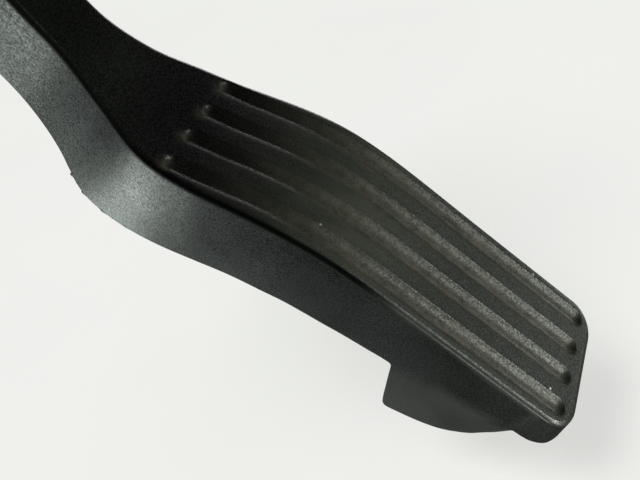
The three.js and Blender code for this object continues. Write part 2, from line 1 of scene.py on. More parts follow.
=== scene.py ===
"""Hanging accelerator pedal: a grooved lever on a pivot in a housing with a sensor.

x runs across the pedal, y towards the wall the housing is mounted on (back of the plate at y = 0)
and z up. The pivot lies along x. The lever hangs from it down to its toe, at the lowest y and z,
and its tread faces -y and up. Meshes are built in millimetres and scaled to metres when finished.
"""
import json
import math
import bmesh
import bpy
import numpy as np
from mathutils import Matrix, Vector


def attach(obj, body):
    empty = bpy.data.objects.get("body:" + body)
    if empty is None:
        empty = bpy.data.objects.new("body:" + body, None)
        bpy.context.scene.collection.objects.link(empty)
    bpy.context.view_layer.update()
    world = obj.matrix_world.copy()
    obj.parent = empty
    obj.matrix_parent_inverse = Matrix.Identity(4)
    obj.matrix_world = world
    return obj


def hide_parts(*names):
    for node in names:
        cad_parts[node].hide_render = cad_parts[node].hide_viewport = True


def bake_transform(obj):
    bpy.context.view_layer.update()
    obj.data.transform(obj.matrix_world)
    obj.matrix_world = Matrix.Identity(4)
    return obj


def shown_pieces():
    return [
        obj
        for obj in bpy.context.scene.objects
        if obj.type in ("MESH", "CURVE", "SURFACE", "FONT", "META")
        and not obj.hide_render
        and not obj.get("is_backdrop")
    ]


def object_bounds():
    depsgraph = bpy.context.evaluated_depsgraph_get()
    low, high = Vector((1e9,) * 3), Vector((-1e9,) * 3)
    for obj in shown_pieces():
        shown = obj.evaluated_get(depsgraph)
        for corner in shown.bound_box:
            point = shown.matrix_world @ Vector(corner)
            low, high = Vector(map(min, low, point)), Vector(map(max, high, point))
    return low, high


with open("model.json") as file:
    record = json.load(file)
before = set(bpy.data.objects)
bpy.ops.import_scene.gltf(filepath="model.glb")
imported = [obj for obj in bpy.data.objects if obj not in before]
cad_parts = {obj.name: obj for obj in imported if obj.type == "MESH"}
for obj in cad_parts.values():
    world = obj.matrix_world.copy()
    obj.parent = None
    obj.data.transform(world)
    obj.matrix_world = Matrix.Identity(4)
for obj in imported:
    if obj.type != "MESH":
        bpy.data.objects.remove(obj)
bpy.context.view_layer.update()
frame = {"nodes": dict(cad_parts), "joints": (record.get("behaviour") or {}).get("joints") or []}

scene = bpy.context.scene
scene.view_settings.view_transform = "Standard"
scene.view_settings.look = "None"
scene.view_settings.exposure = 0.0
scene.view_settings.gamma = 1.0

MM = 0.001
PIVOT_Y, PIVOT_Z = (frame["joints"][0]["pos_m"][i] * 1000 for i in (1, 2))
PIVOT = (PIVOT_Y, PIVOT_Z)

# ---------------------------------------------------------------- the lever's own coordinates
# s runs along the top line from the toe, x across, n out of the top face.
STEP = 15.0  # between the entries of CURVE and HALF_WIDTH
START_ANGLE = 0.97139
# bend of the top line, radians per mm
CURVE = np.array([
    -1.4, -0.3, 0.21, 0.23, 0.39, -1.99, -8.25, -12.8, -6.68, 10.6, 20.07, 12.81, 7.4, 3.39, 0.32,
    0, 0, 0, 0, 0, 0, 0]) / 1000
HALF_WIDTH = np.array([
    22.4, 22.38, 22.34, 22.28, 22.22, 22.22, 22.3, 22.5, 22.16, 21.38, 19.16, 13.66, 9.79, 9.4,
    9.3, 9.3, 9.3, 9.3, 9.3, 9.3, 9.3, 9.3])
# lower outline as (s, depth under the top line): toe wall, stop lug, skirt, flare at the neck
OUTLINE = np.array([
    (0, 9.14), (2, 10.8), (4, 12.45), (6, 14.1), (8, 15.6), (9.5, 15.95), (10.5, 16.1),
    (10.75, 16.9), (11, 19.5), (11.3, 22.7), (11.85, 27.55), (12.3, 32.3), (12.8, 35.1),
    (13.3, 36.8), (14, 38.6), (15, 40.0), (17, 42.3), (19, 43.85), (21, 45.15), (23, 46.25),
    (25, 47.2), (27, 48.1), (29, 48.85), (31, 49.6), (33, 50.35), (34, 50.5), (35, 50.25),
    (36, 49.5), (37, 48.2), (38, 46.7), (40, 43.4), (42, 39.95), (44, 36.55), (46, 33.1),
    (48, 29.7), (49.7, 26.8), (50.4, 26.0), (51.3, 25.75), (60, 27.05), (68, 28.3), (76, 29.8),
    (84, 30.8), (92, 31.6), (100, 32.3), (108, 32.7), (116, 33.0), (124, 33.5), (132, 34.6),
    (140, 36.8), (148, 39.2), (151, 40.1), (154, 40.8), (156.5, 40.95), (159, 39.9), (162, 36.8),
    (166, 33.1), (170, 31.2), (174, 30.35), (178, 30.0), (184, 29.9), (340, 29.9)])
LEAN = 0.565  # how far the toe wall leans out for each mm of depth
HUB_S, HUB_N = 285.0, -15.0
SKIN, WALL, EDGE_R, TOE_R = 3.0, 2.6, 1.5, 9.5
GROOVE_START, GROOVE_END = 4.7, 143.7
GROOVE_HALF, GROOVE_DEPTH, GROOVE_PITCH = 2.9, 1.35, 11.0
GROOVE_ROWS = (-1.5, -0.5, 0.5, 1.5)  # groove centres in pitches from the middle
GROOVE_R = (GROOVE_HALF**2 + GROOVE_DEPTH**2) / (2 * GROOVE_DEPTH)


def catmull_rom(values, s):
    """Smooth curve through values that lie STEP apart."""
    t = np.clip(np.asarray(s, float) / STEP, 0, len(values) - 1 - 1e-9)
    i = np.floor(t).astype(int)
    u = t - i
    p0 = values[np.maximum(i - 1, 0)]
    p1 = values[i]
    p2 = values[i + 1]
    p3 = values[np.minimum(i + 2, len(values) - 1)]
    square = (2 * p0 - 5 * p1 + 4 * p2 - p3) * u**2
    cube = (3 * p1 - p0 - 3 * p2 + p3) * u**3
    return 0.5 * (2 * p1 + (p2 - p0) * u + square + cube)


# the top line, sampled by adding up its bend
LINE_STEP = 0.25
LINE_S = np.arange(0, 340 + LINE_STEP, LINE_STEP)
bend = np.interp((LINE_S[:-1] + LINE_STEP / 2) / STEP, np.arange(len(CURVE)), CURVE)
LINE_ANGLE = START_ANGLE + np.concatenate([[0], np.cumsum(bend * LINE_STEP)])
mid_angle = LINE_ANGLE[:-1] + bend * LINE_STEP / 2
LINE_Y = np.concatenate([[0], np.cumsum(np.cos(mid_angle) * LINE_STEP)])
LINE_Z = np.concatenate([[0], np.cumsum(np.sin(mid_angle) * LINE_STEP)])


def from_toe(s, n):
    """y and z of a point of the lever, measured from the toe end of the top line."""
    s = np.asarray(s, float)
    angle = np.interp(s, LINE_S, LINE_ANGLE)
    before = np.minimum(s, 0)
    y = np.interp(s, LINE_S, LINE_Y) - n * np.sin(angle) + before * np.cos(angle)
    z = np.interp(s, LINE_S, LINE_Z) + n * np.cos(angle) + before * np.sin(angle)
    return y, z


HUB_Y, HUB_Z = (float(v) for v in from_toe(HUB_S, HUB_N))


def place(s, x, n):
    """Point of the lever in the product's frame, mm."""
    s, x, n = np.broadcast_arrays(*(np.asarray(v, float) for v in (s, x, n)))
    y, z = from_toe(s, n)
    return np.stack([x, y - HUB_Y + PIVOT_Y, z - HUB_Z + PIVOT_Z], -1)


def lever_point(s, x, n):
    """The same point in metres."""
    return Vector([float(v) * MM for v in place(s, x, n)])


def to_sn(y, z):
    """Points in mm back to s and n, by the nearest sample of the top line."""
    line_y, line_z = LINE_Y - HUB_Y + PIVOT_Y, LINE_Z - HUB_Z + PIVOT_Z
    points = np.stack([np.ravel(y), np.ravel(z)], -1)
    out_s, out_n = np.empty(len(points)), np.empty(len(points))
    batch = 4000
    for i in range(0, len(points), batch):
        part = points[i:i + batch]
        gap = (part[:, :1] - line_y[None]) ** 2 + (part[:, 1:] - line_z[None]) ** 2
        j = gap.argmin(1)
        dy, dz = part[:, 0] - line_y[j], part[:, 1] - line_z[j]
        cos, sin = np.cos(LINE_ANGLE[j]), np.sin(LINE_ANGLE[j])
        out_s[i:i + batch] = LINE_S[j] + dy * cos + dz * sin
        out_n[i:i + batch] = -dy * sin + dz * cos
    return out_s, out_n


def side_half(s):
    return catmull_rom(HALF_WIDTH, s)


def half_width(s):
    """Half width with the rounded toe corners."""
    s = np.asarray(s, float)
    half = side_half(s)
    corner = half - TOE_R + np.sqrt(np.maximum(0, TOE_R**2 - (TOE_R - s) ** 2))
    return np.where(s < TOE_R, corner, half)


def inside_plan(s, x):
    """Distance inwards from the plan outline of the lever."""
    a = np.abs(x) - side_half(s) + TOE_R
    b = -np.asarray(s, float) + TOE_R
    corner = np.hypot(np.maximum(a, 0), np.maximum(b, 0))
    return -(np.minimum(np.maximum(a, b), 0) + corner - TOE_R)


def smooth_min(a, b, k):
    h = np.clip(0.5 + 0.5 * (b - a) / k, 0, 1)
    return b * (1 - h) + a * h - k * h * (1 - h)


def edge_drop(s, x):
    """How far the rounded top edge lies under the top face."""
    q = np.clip(inside_plan(s, x), 0, EDGE_R)
    return EDGE_R - np.sqrt(np.maximum(0, EDGE_R**2 - (EDGE_R - q) ** 2))


def groove_distance(s, x, row):
    """Distance from the centre line of a groove, round its closed ends too."""
    past_end = np.maximum(np.maximum(GROOVE_START + GROOVE_HALF - s, 0),
                          s - (GROOVE_END - GROOVE_HALF))
    return np.hypot(x - row * GROOVE_PITCH, past_end)


def top_height(s, x):
    height = -edge_drop(s, x)
    for row in GROOVE_ROWS:
        r = groove_distance(s, x, row)
        hollow = (GROOVE_R - GROOVE_DEPTH) - np.sqrt(np.maximum(GROOVE_R**2 - r**2, 0))
        height = smooth_min(height, np.where(r < GROOVE_R, hollow, 9.0), 0.42)
    return height


def pchip(xs, ys, x):
    """Cubic through a table that never overshoots it."""
    h = np.diff(xs)
    d = np.diff(ys) / h
    m = np.zeros(len(xs))
    for i in range(1, len(xs) - 1):
        if d[i - 1] * d[i] > 0:
            w1, w2 = 2 * h[i] + h[i - 1], h[i] + 2 * h[i - 1]
            m[i] = (w1 + w2) / (w1 / d[i - 1] + w2 / d[i])
    m[0], m[-1] = d[0], d[-1]
    j = np.clip(np.searchsorted(xs, x) - 1, 0, len(h) - 1)
    t = (x - xs[j]) / h[j]
    return ((2 * t**3 - 3 * t**2 + 1) * ys[j] + (t**3 - 2 * t**2 + t) * h[j] * m[j]
            + (-2 * t**3 + 3 * t**2) * ys[j + 1] + (t**3 - t**2) * h[j] * m[j + 1])


def lower(s):
    """Depth of the lower outline under the top line."""
    return float(pchip(OUTLINE[:, 0], OUTLINE[:, 1], np.clip(np.asarray(s, float), 0, 339.9)))


def lean(s, depth):
    """Station of a wall point that far below the top line, with the toe wall leaning out."""
    t = np.clip((14 - np.asarray(s, float)) / 10, 0, 1)
    return s - LEAN * depth * t * t * (3 - 2 * t)


# ---------------------------------------------------------------- solids, in mm
scratch = bpy.data.collections.new("scratch")
scene.collection.children.link(scratch)
AXES = {"x": (0, 1, 2), "y": (1, 0, 2), "z": (2, 0, 1)}
UNION, DIFFERENCE = "UNION", "DIFFERENCE"


def solid(verts, faces):
    """A closed mesh object with merged points and outward faces."""
    mesh = bpy.data.meshes.new("part")
    mesh.from_pydata([tuple(map(float, v)) for v in verts], [],
                     [tuple(int(i) for i in f) for f in faces])
    mesh.update()
    ob = bpy.data.objects.new("part", mesh)
    scratch.objects.link(ob)
    bm = bmesh.new()
    bm.from_mesh(mesh)
    bmesh.ops.remove_doubles(bm, verts=bm.verts, dist=1e-4)
    bmesh.ops.dissolve_degenerate(bm, edges=bm.edges, dist=1e-4)
    bmesh.ops.recalc_face_normals(bm, faces=bm.faces)
    if bm.calc_volume(signed=True) < 0:
        bmesh.ops.reverse_faces(bm, faces=bm.faces)
    bm.to_mesh(mesh)
    bm.free()
    return ob


def tube(rings, closed=False):
    """A solid through a row of equally long loops of points; closed joins the last to the first."""
    rings = np.asarray(rings, float)
    m, n = rings.shape[:2]
    faces = []
    for i in range(m if closed else m - 1):
        a, b = i * n, ((i + 1) % m) * n
        for j in range(n):
            k = (j + 1) % n
            faces.append((a + j, a + k, b + k, b + j))
    if not closed:
        faces.append(tuple(range(n - 1, -1, -1)))
        faces.append(tuple((m - 1) * n + j for j in range(n)))
    return solid(rings.reshape(-1, 3), faces)


def revolve(profile, axis="x", centre=PIVOT, segments=64, closed=False):
    """Turns a profile of (position on the axis, radius). Open ones start and end at radius 0."""
    along, u, v = AXES[axis]
    angles = np.linspace(0, 2 * math.pi, segments, endpoint=False)
    verts, rows = [], []
    for position, radius in profile:
        on_axis = radius < 1e-6
        first = len(verts)
        for t in angles[:1] if on_axis else angles:
            r = 0 if on_axis else radius
            p = [0, 0, 0]
            p[along] = position
            p[u], p[v] = centre[0] + r * math.cos(t), centre[1] + r * math.sin(t)
            verts.append(p)
        rows.append(range(first, len(verts)))
    faces = []
    for a, b in list(zip(rows, rows[1:])) + ([(rows[-1], rows[0])] if closed else []):
        if len(a) == 1 and len(b) == 1:
            continue
        for j in range(segments):
            k = (j + 1) % segments
            if len(a) == 1:
                faces.append((a[0], b[k], b[j]))
            elif len(b) == 1:
                faces.append((a[j], a[k], b[0]))
            else:
                faces.append((a[j], a[k], b[k], b[j]))
    return solid(verts, faces)


# shapes of a rounded end edge, as (share of the rounding outwards, share along the axis)
SOFT_EDGE = [(0, 0.0), (0.25, 0.03), (0.62, 0.16), (0.9, 0.5), (1.0, 1.0)]
HUB_EDGE = [(0, 0.0), (0.3, 0.05), (0.62, 0.22), (0.86, 0.5), (1.0, 1.0)]


def turned(start, end, radius, rounding, bore=0.0, edge=SOFT_EDGE, **turning):
    """A cylinder, or with a bore a ring, with rounded outer edges."""
    flat = radius - rounding
    profile = [(start + rounding * v, flat + rounding * u) for u, v in edge]
    profile += [(end - rounding * v, flat + rounding * u) for u, v in reversed(edge)]
    if bore > 0:
        c = min(rounding, 0.3)
        profile += [(end, bore + c), (end - c, bore), (start + c, bore), (start, bore + c)]
    else:
        profile = [(start, 0), *profile, (end, 0)]
    return revolve(profile, closed=bore > 0, **turning)


def rod(start, end, radius, **turning):
    """A plain cylinder."""
    return revolve([(start, 0), (start, radius), (end, radius), (end, 0)], **turning)


def prism(points, axis, start, end, bevel=0.0, segments=2):
    """A polygon pushed along an axis, its sharp edges rounded.

    Points are in the other two axes, in x, y, z order.
    """
    along, u, v = AXES[axis]
    n = len(points)
    verts = []
    for position in (start, end):
        for p in points:
            w = [0, 0, 0]
            w[along], w[u], w[v] = position, p[0], p[1]
            verts.append(w)
    faces = [tuple(range(n)), tuple(range(2 * n - 1, n - 1, -1))]
    faces += [(j, (j + 1) % n, n + (j + 1) % n, n + j) for j in range(n)]
    ob = solid(verts, faces)
    if bevel > 0:
        bm = bmesh.new()
        bm.from_mesh(ob.data)
        sharp = [e for e in bm.edges
                 if len(e.link_faces) == 2 and e.calc_face_angle(0) > math.radians(20)]
        bmesh.ops.bevel(bm, geom=sharp, offset=bevel, offset_type="OFFSET", segments=segments,
                        profile=0.5, affect="EDGES", clamp_overlap=True)
        bmesh.ops.recalc_face_normals(bm, faces=bm.faces)
        bm.to_mesh(ob.data)
        bm.free()
    return ob


def block(x_span, y_span, z_span, bevel=0.0, segments=2):
    (y0, y1), (z0, z1) = y_span, z_span
    return prism([(y0, z0), (y1, z0), (y1, z1), (y0, z1)], "x", *x_span, bevel, segments)


def around(centre, half):
    return centre - half, centre + half


def arc(cy, cz, r, start, end, steps):
    angles = [math.radians(start + (end - start) * i / steps) for i in range(steps + 1)]
    return [(cy + r * math.cos(a), cz + r * math.sin(a)) for a in angles]


def round_rect(cy, cz, hy, hz, r, steps=8):
    """Rectangle with half sizes hy and hz and corner radius r."""
    return (arc(cy + hy - r, cz + hz - r, r, 0, 90, steps)
            + arc(cy - hy + r, cz + hz - r, r, 90, 180, steps)
            + arc(cy - hy + r, cz - hz + r, r, 180, 270, steps)
            + arc(cy + hy - r, cz - hz + r, r, 270, 360, steps))


def pivot_square(half, corner):
    return round_rect(PIVOT_Y, PIVOT_Z, half, half, corner)


def mirrored(profile):
    """A profile and its mirror image about x = 0."""
    return profile + [(-a, r) for a, r in reversed(profile)]


def combine(base, *groups):
    """Applies groups of (operation, solids) to base and returns the result."""
    steps = [(operation, tool) for operation, tools in groups for tool in tools]
    for operation, tool in steps:
        mod = base.modifiers.new("boolean", "BOOLEAN")
        mod.operation = operation
        mod.solver = "MANIFOLD"
        mod.object = tool
    bpy.context.view_layer.update()
    depsgraph = bpy.context.evaluated_depsgraph_get()
    mesh = bpy.data.meshes.new_from_object(base.evaluated_get(depsgraph))
    out = bpy.data.objects.new("part", mesh)
    scratch.objects.link(out)
    for _, tool in steps:
        bpy.data.objects.remove(tool)
    bpy.data.objects.remove(base)
    return out


def finish_piece(ob, node, body, slot, angle=35, ride=True):
    """Makes a solid the finished stand-in for a CAD node: metres, shading, material and body."""
    scratch.objects.unlink(ob)
    scene.collection.objects.link(ob)
    ob.name = node + "_fine"
    mesh = ob.data
    bm = bmesh.new()
    bm.from_mesh(mesh)
    bmesh.ops.remove_doubles(bm, verts=bm.verts, dist=2e-4)
    bmesh.ops.dissolve_degenerate(bm, edges=bm.edges, dist=2e-4)
    bmesh.ops.delete(bm, geom=[v for v in bm.verts if not v.link_faces], context="VERTS")
    bmesh.ops.transform(bm, matrix=Matrix.Scale(MM, 4), verts=bm.verts)
    bm.to_mesh(mesh)
    bm.free()
    mesh.polygons.foreach_set("use_smooth", [True] * len(mesh.polygons))
    mesh.set_sharp_from_angle(angle=math.radians(angle))
    mesh.materials.clear()
    mesh.materials.append(MATERIALS[slot])
    mesh.update()
    if ride:
        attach(ob, body)
    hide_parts(node)
    return ob


# ---------------------------------------------------------------- materials
MATERIALS = {}


class Shader:
    """A material with short ways to write its node tree."""

    def __init__(self, name):
        self.name = name
        self.material = bpy.data.materials.new(name)
        self.material.use_nodes = True
        self.tree = self.material.node_tree
        self.tree.nodes.clear()
        out = self.tree.nodes.new("ShaderNodeOutputMaterial")
        self.bsdf = self.tree.nodes.new("ShaderNodeBsdfPrincipled")
        self.tree.links.new(self.bsdf.outputs[0], out.inputs["Surface"])
        self.coord = self.tree.nodes.new("ShaderNodeTexCoord").outputs["Object"]

    def put(self, socket, value):
        if isinstance(value, bpy.types.NodeSocket):
            self.tree.links.new(value, socket)
        else:
            socket.default_value = value

    def node(self, kind, inputs, **settings):
        node = self.tree.nodes.new(kind)
        for key, value in settings.items():
            setattr(node, key, value)
        for key, value in inputs.items():
            self.put(node.inputs[key], value)
        return node

    def noise(self, scale, detail=2.0, rough=0.5, vector=None):
        return self.node("ShaderNodeTexNoise", {
            "Vector": vector or self.coord, "Scale": scale, "Detail": detail,
            "Roughness": rough}).outputs["Fac"]

    def cell_edges(self, scale, randomness, vector):
        return self.node("ShaderNodeTexVoronoi", {
            "Vector": vector, "Scale": scale, "Randomness": randomness},
            feature="DISTANCE_TO_EDGE").outputs["Distance"]

    def ramp(self, value, span=(0.3, 0.7), to=(0.0, 1.0)):
        """Smooth step from to[0] at span[0] up or down to to[1] at span[1]."""
        return self.node("ShaderNodeMapRange", {
            "Value": value, "From Min": span[0], "From Max": span[1],
            "To Min": to[0], "To Max": to[1]}, interpolation_type="SMOOTHSTEP").outputs["Result"]

    def math(self, operation, a, b):
        return self.node("ShaderNodeMath", {0: a, 1: b}, operation=operation).outputs[0]

    def plus(self, a, b):
        return self.math("ADD", a, b)

    def times(self, a, b):
        return self.math("MULTIPLY", a, b)

    def larger(self, a, b):
        return self.math("MAXIMUM", a, b)

    def fade(self, value, mask, to):
        """Scales value by a factor that falls to `to` where the mask is 1."""
        return self.times(value, self.ramp(mask, span=(0.0, 1.0), to=(1.0, to)))

    def raised(self, value, mask, by):
        """Adds up to `by` where the mask is 1."""
        return self.plus(value, self.times(mask, by))

    def mix(self, factor, a, b):
        a, b = ((*v, 1.0) if isinstance(v, tuple) else v for v in (a, b))
        return self.node("ShaderNodeMix", {"Factor": factor, 6: a, 7: b},
                         data_type="RGBA").outputs[2]

    def shades(self, value, pair, span=(0.3, 0.7)):
        """Drifts between the two colours of a pair."""
        return self.mix(self.ramp(value, span=span), *pair)

    def grain(self, fine, mid):
        """Height of a moulded grain out of two noises."""
        return self.plus(self.times(fine, 0.7), self.times(mid, 0.3))

    def attribute(self, name):
        return self.node("ShaderNodeAttribute", {}, attribute_name=name).outputs["Fac"]

    def stretch(self, *scale):
        return self.node("ShaderNodeMapping", {
            "Vector": self.coord, "Scale": scale}).outputs["Vector"]

    def bump(self, height, distance, strength=1.0):
        return self.node("ShaderNodeBump", {
            "Strength": strength, "Distance": distance, "Height": height}).outputs["Normal"]

    def finish(self, color, roughness, normal, metallic=0.0, specular=0.5):
        for key, value in (("Base Color", color), ("Roughness", roughness), ("Metallic", metallic),
                           ("Specular IOR Level", specular), ("Normal", normal)):
            self.put(self.bsdf.inputs[key], value)
        MATERIALS[self.name] = self.material


def moulded(name, color, roughness, grain, depth):
    """Moulded plastic: spark-eroded grain, slow colour drift, slight rubbing."""
    mat = Shader(name)
    fine = mat.noise(scale=grain, detail=3.0, rough=0.6)
    mid = mat.noise(scale=grain * 0.37)
    slow = mat.noise(scale=28.0, detail=3.0, rough=0.55)
    height = mat.grain(fine, mid)
    pair = tuple(c * 0.75 for c in color), tuple(min(1, c * 1.25 + 0.002) for c in color)
    mat.finish(
        color=mat.shades(slow, pair),
        roughness=mat.plus(
            mat.ramp(fine, span=(0.35, 0.65), to=(roughness - 0.05, roughness + 0.05)),
            mat.ramp(slow, to=(-0.03, 0.03))),
        normal=mat.bump(height, distance=depth))


# pale specks of lint on the tread: (s, x, size, colour)
SPECKS = [
    (36.75, 14.0, 0.8, (0.5, 0.5, 0.45)), (27.5, 20.0, 0.75, (0.6, 0.58, 0.5)),
    (26.25, 14.25, 0.75, (0.55, 0.55, 0.5)), (11.5, -12.75, 0.95, (0.6, 0.6, 0.56)),
    (97.6, -13.6, 1.0, (0.2, 0.22, 0.19)), (118, 4.0, 0.6, (0.12, 0.11, 0.08)),
    (71, 8.5, 0.6, (0.14, 0.13, 0.1)), (52, -17.5, 0.6, (0.14, 0.13, 0.11))]
# colours of the lever; pairs are the two ends of a slow drift
BLACK = (0.0014, 0.0018, 0.0014), (0.0024, 0.0030, 0.0024)
TREAD_AT_TOE = (0.015, 0.0175, 0.0145), (0.021, 0.023, 0.019)
TREAD_ABOVE = (0.027, 0.0295, 0.0230), (0.047, 0.0490, 0.0385)
DUST = (0.040, 0.036, 0.025), (0.074, 0.067, 0.050)
LUG = (0.0125, 0.0145, 0.0125), (0.019, 0.0205, 0.018)
TOE_WALL = (0.0075, 0.0082, 0.0075), (0.0125, 0.0132, 0.012)
# the lip colour is wear with painted highlight; the margin colour is painted highlight
LIP_WEAR_AND_HIGHLIGHT, MARGIN_HIGHLIGHT = (0.044, 0.041, 0.031), (0.040, 0.041, 0.035)
# painted shade: near-black for the rounded top edge where it lies in shade
PAINTED_EDGE_SHADE = (0.0012, 0.0015, 0.0012)


def lever_plastic():
    """Black plastic, worn and dusty on the tread, with painted highlight on the tread margin and
    groove lips and painted shade on the rounded top edge. paint_lever writes its attributes.
    """
    mat = Shader("lever_plastic")
    groove, along, lip, tread, edge = map(
        mat.attribute, ("groove", "along", "lip", "tread", "edge"))
    fine = mat.noise(scale=2100.0, detail=1.0, rough=0.6)
    mid = mat.noise(scale=1050.0, detail=1.0, rough=0.6)
    slow = mat.noise(scale=45.0, detail=4.0, rough=0.6)
    patch = mat.noise(scale=160.0, detail=4.0, rough=0.65, vector=mat.stretch(1.0, 0.35, 0.35))
    height = mat.grain(fine, mid)
    black = mat.shades(slow, BLACK)
    # rubbed, slightly greyer tread towards the toe
    rub = mat.times(tread, mat.ramp(along, span=(0.35, 0.50), to=(1.0, 0.0)))
    grey = mat.shades(slow, TREAD_AT_TOE, span=(0.25, 0.75))
    grey = mat.mix(mat.ramp(along, span=(0.16, 0.32)), grey, mat.shades(patch, TREAD_ABOVE))
    color = mat.mix(mat.times(rub, 0.9), black, grey)
    # brown dust in the grooves, caught in their closed ends
    dust = mat.times(mat.ramp(groove, span=(0.0, 0.2)),
                     mat.ramp(patch, span=(0.32, 0.68), to=(0.55, 1.0)))
    dust = mat.times(dust, mat.ramp(along, span=(0.28, 0.46), to=(0.85, 0.05)))
    dust = mat.larger(dust, mat.times(
        mat.attribute("tip"), mat.ramp(patch, span=(0.32, 0.68), to=(0.25, 0.7))))
    color = mat.mix(dust, color, mat.shades(
        mat.noise(scale=380.0, detail=3.0), DUST, span=(0.35, 0.65)))
    # lips of the grooves rubbed lighter, with painted highlight on the -x lips, and the margin of
    # the tread lightened as painted highlight
    lip_wear_and_highlight = mat.times(lip, mat.ramp(patch, span=(0.3, 0.75), to=(0.5, 0.8)))
    lip_wear_and_highlight = mat.times(lip_wear_and_highlight, mat.ramp(along, span=(0.32, 0.48), to=(1.0, 0.16)))
    color = mat.mix(lip_wear_and_highlight, color, LIP_WEAR_AND_HIGHLIGHT)
    # painted highlight on the margin of the tread
    color = mat.mix(mat.times(mat.attribute("margin_highlight"), 0.8), color, MARGIN_HIGHLIGHT)
    # painted shade: between the toe and the bend the rounded top edge is painted near-black, as it
    # lies in shade there
    painted_edge_shade = mat.times(edge, mat.times(
        mat.ramp(along, span=(0.21, 0.29)), mat.ramp(along, span=(0.50, 0.57), to=(1.0, 0.0))))
    color = mat.mix(painted_edge_shade, color, PAINTED_EDGE_SHADE)
    for s, x, size, shade in SPECKS:
        gap = mat.node("ShaderNodeVectorMath", {0: mat.coord, 1: lever_point(s, x, 0.0)},
                       operation="DISTANCE").outputs["Value"]
        color = mat.mix(mat.ramp(gap, span=(0.0005 * size, 0.00025 * size)), color, shade)
    rough = mat.plus(mat.ramp(fine, to=(0.27, 0.37)), mat.ramp(slow, to=(-0.03, 0.03)))
    rough = mat.raised(rough, dust, by=0.2)
    rough = mat.raised(rough, edge, by=0.07)
    lug = mat.attribute("lug")
    color = mat.mix(lug, color, mat.shades(slow, LUG, span=(0.35, 0.65)))
    rough = mat.raised(rough, lug, by=0.10)
    rough = mat.raised(rough, mat.times(
        mat.attribute("rim"), mat.ramp(along, span=(0.28, 0.38))), by=0.25)
    toe_wall = mat.attribute("toe")
    color = mat.mix(toe_wall, color, mat.shades(slow, TOE_WALL, span=(0.35, 0.65)))
    rough = mat.raised(rough, toe_wall, by=0.22)
    normal = mat.bump(mat.fade(height, edge, to=0.25), distance=0.00004)
    # grainy shine, smoother on edge and lug, duller on the worn and matt places and on the edge
    # painted in shade
    shine = mat.ramp(mat.noise(scale=1750.0, detail=1.0, rough=0.6), to=(0.14, 0.86))
    shine = mat.raised(mat.fade(shine, mat.larger(edge, lug), to=0.35),
                       mat.larger(edge, lug), by=0.27)
    shine = mat.times(shine, mat.attribute("sheen"))
    shine = mat.fade(shine, toe_wall, to=0.3)
    rim = mat.attribute("rim")
    shine = mat.fade(shine, rim, to=0.35)
    shine = mat.fade(shine, mat.times(rim, mat.ramp(along, span=(0.28, 0.38))), to=0.35)
    shine = mat.fade(shine, painted_edge_shade, to=0.12)
    shine = mat.fade(shine, mat.attribute("dull"), to=0.28)
    mat.finish(color=color, roughness=rough, normal=normal, specular=shine)


def metal(name, color, roughness, scale=900.0):
    """Metal with a fine grain drawn out across x."""
    mat = Shader(name)
    fine = mat.noise(scale=scale, detail=3.0, rough=0.6, vector=mat.stretch(6.0, 1.0, 1.0))
    slow = mat.noise(scale=90.0, detail=3.0)
    pair = tuple(c * 0.82 for c in color), tuple(min(1, c * 1.08) for c in color)
    mat.finish(color=mat.shades(slow, pair),
               roughness=mat.ramp(fine, to=(roughness - 0.07, roughness + 0.09)),
               normal=mat.bump(fine, distance=0.000006), metallic=1.0)


def rubber(name, color, roughness):
    mat = Shader(name)
    fine = mat.noise(scale=1700.0, detail=3.0, rough=0.6)
    slow = mat.noise(scale=140.0, detail=3.0)
    mat.finish(color=mat.shades(slow, (color, tuple(c * 1.5 + 0.004 for c in color))),
               roughness=mat.ramp(fine, to=(roughness - 0.06, roughness + 0.06)),
               normal=mat.bump(fine, distance=0.00003), specular=0.35)


def bearing_plastic():
    """Off-white, slightly translucent acetal."""
    mat = Shader("bearing_plastic")
    fine = mat.noise(scale=1500.0)
    slow = mat.noise(scale=120.0, detail=3.0)
    mat.finish(color=mat.shades(slow, ((0.66, 0.63, 0.55), (0.78, 0.76, 0.70))),
               roughness=mat.ramp(fine, to=(0.36, 0.48)),
               normal=mat.bump(fine, distance=0.00001))
    mat.bsdf.inputs["Subsurface Weight"].default_value = 0.15
    mat.bsdf.inputs["Subsurface Radius"].default_value = (0.001, 0.0009, 0.0007)


def board():
    """Green circuit board with a pattern of tracks."""
    mat = Shader("board")
    tracks = mat.cell_edges(scale=260.0, randomness=0.6, vector=mat.stretch(1.0, 1.0, 0.6))
    pair = (0.05, 0.24, 0.11), (0.015, 0.10, 0.045)
    mat.finish(color=mat.shades(tracks, pair, span=(0.03, 0.07)),
               roughness=0.35, normal=mat.bump(tracks, distance=0.00002))


lever_plastic()
moulded("housing_plastic", color=(0.012, 0.0125, 0.013), roughness=0.50, grain=2300.0,
        depth=0.00003)
moulded("cover_plastic", color=(0.015, 0.0152, 0.016), roughness=0.42, grain=3000.0,
        depth=0.00002)
moulded("dark_plastic", color=(0.01, 0.01, 0.01), roughness=0.45, grain=3200.0, depth=0.00001)
rubber("stop_rubber", color=(0.012, 0.012, 0.012), roughness=0.8)
rubber("seal_rubber", color=(0.30, 0.09, 0.035), roughness=0.62)
metal("steel", color=(0.56, 0.56, 0.54), roughness=0.33)
metal("spring_steel", color=(0.30, 0.31, 0.33), roughness=0.34, scale=1400.0)
metal("magnet", color=(0.10, 0.10, 0.11), roughness=0.5)
metal("terminal", color=(0.74, 0.62, 0.36), roughness=0.28)
bearing_plastic()
board()

# ---------------------------------------------------------------- the lever
MARGIN = 2.3  # finely divided strip along the rounded top edge
MARGIN_STEPS = np.array([0, 0.02, 0.08, 0.18, 0.31, 0.46, 0.64, 0.82, 1.0])
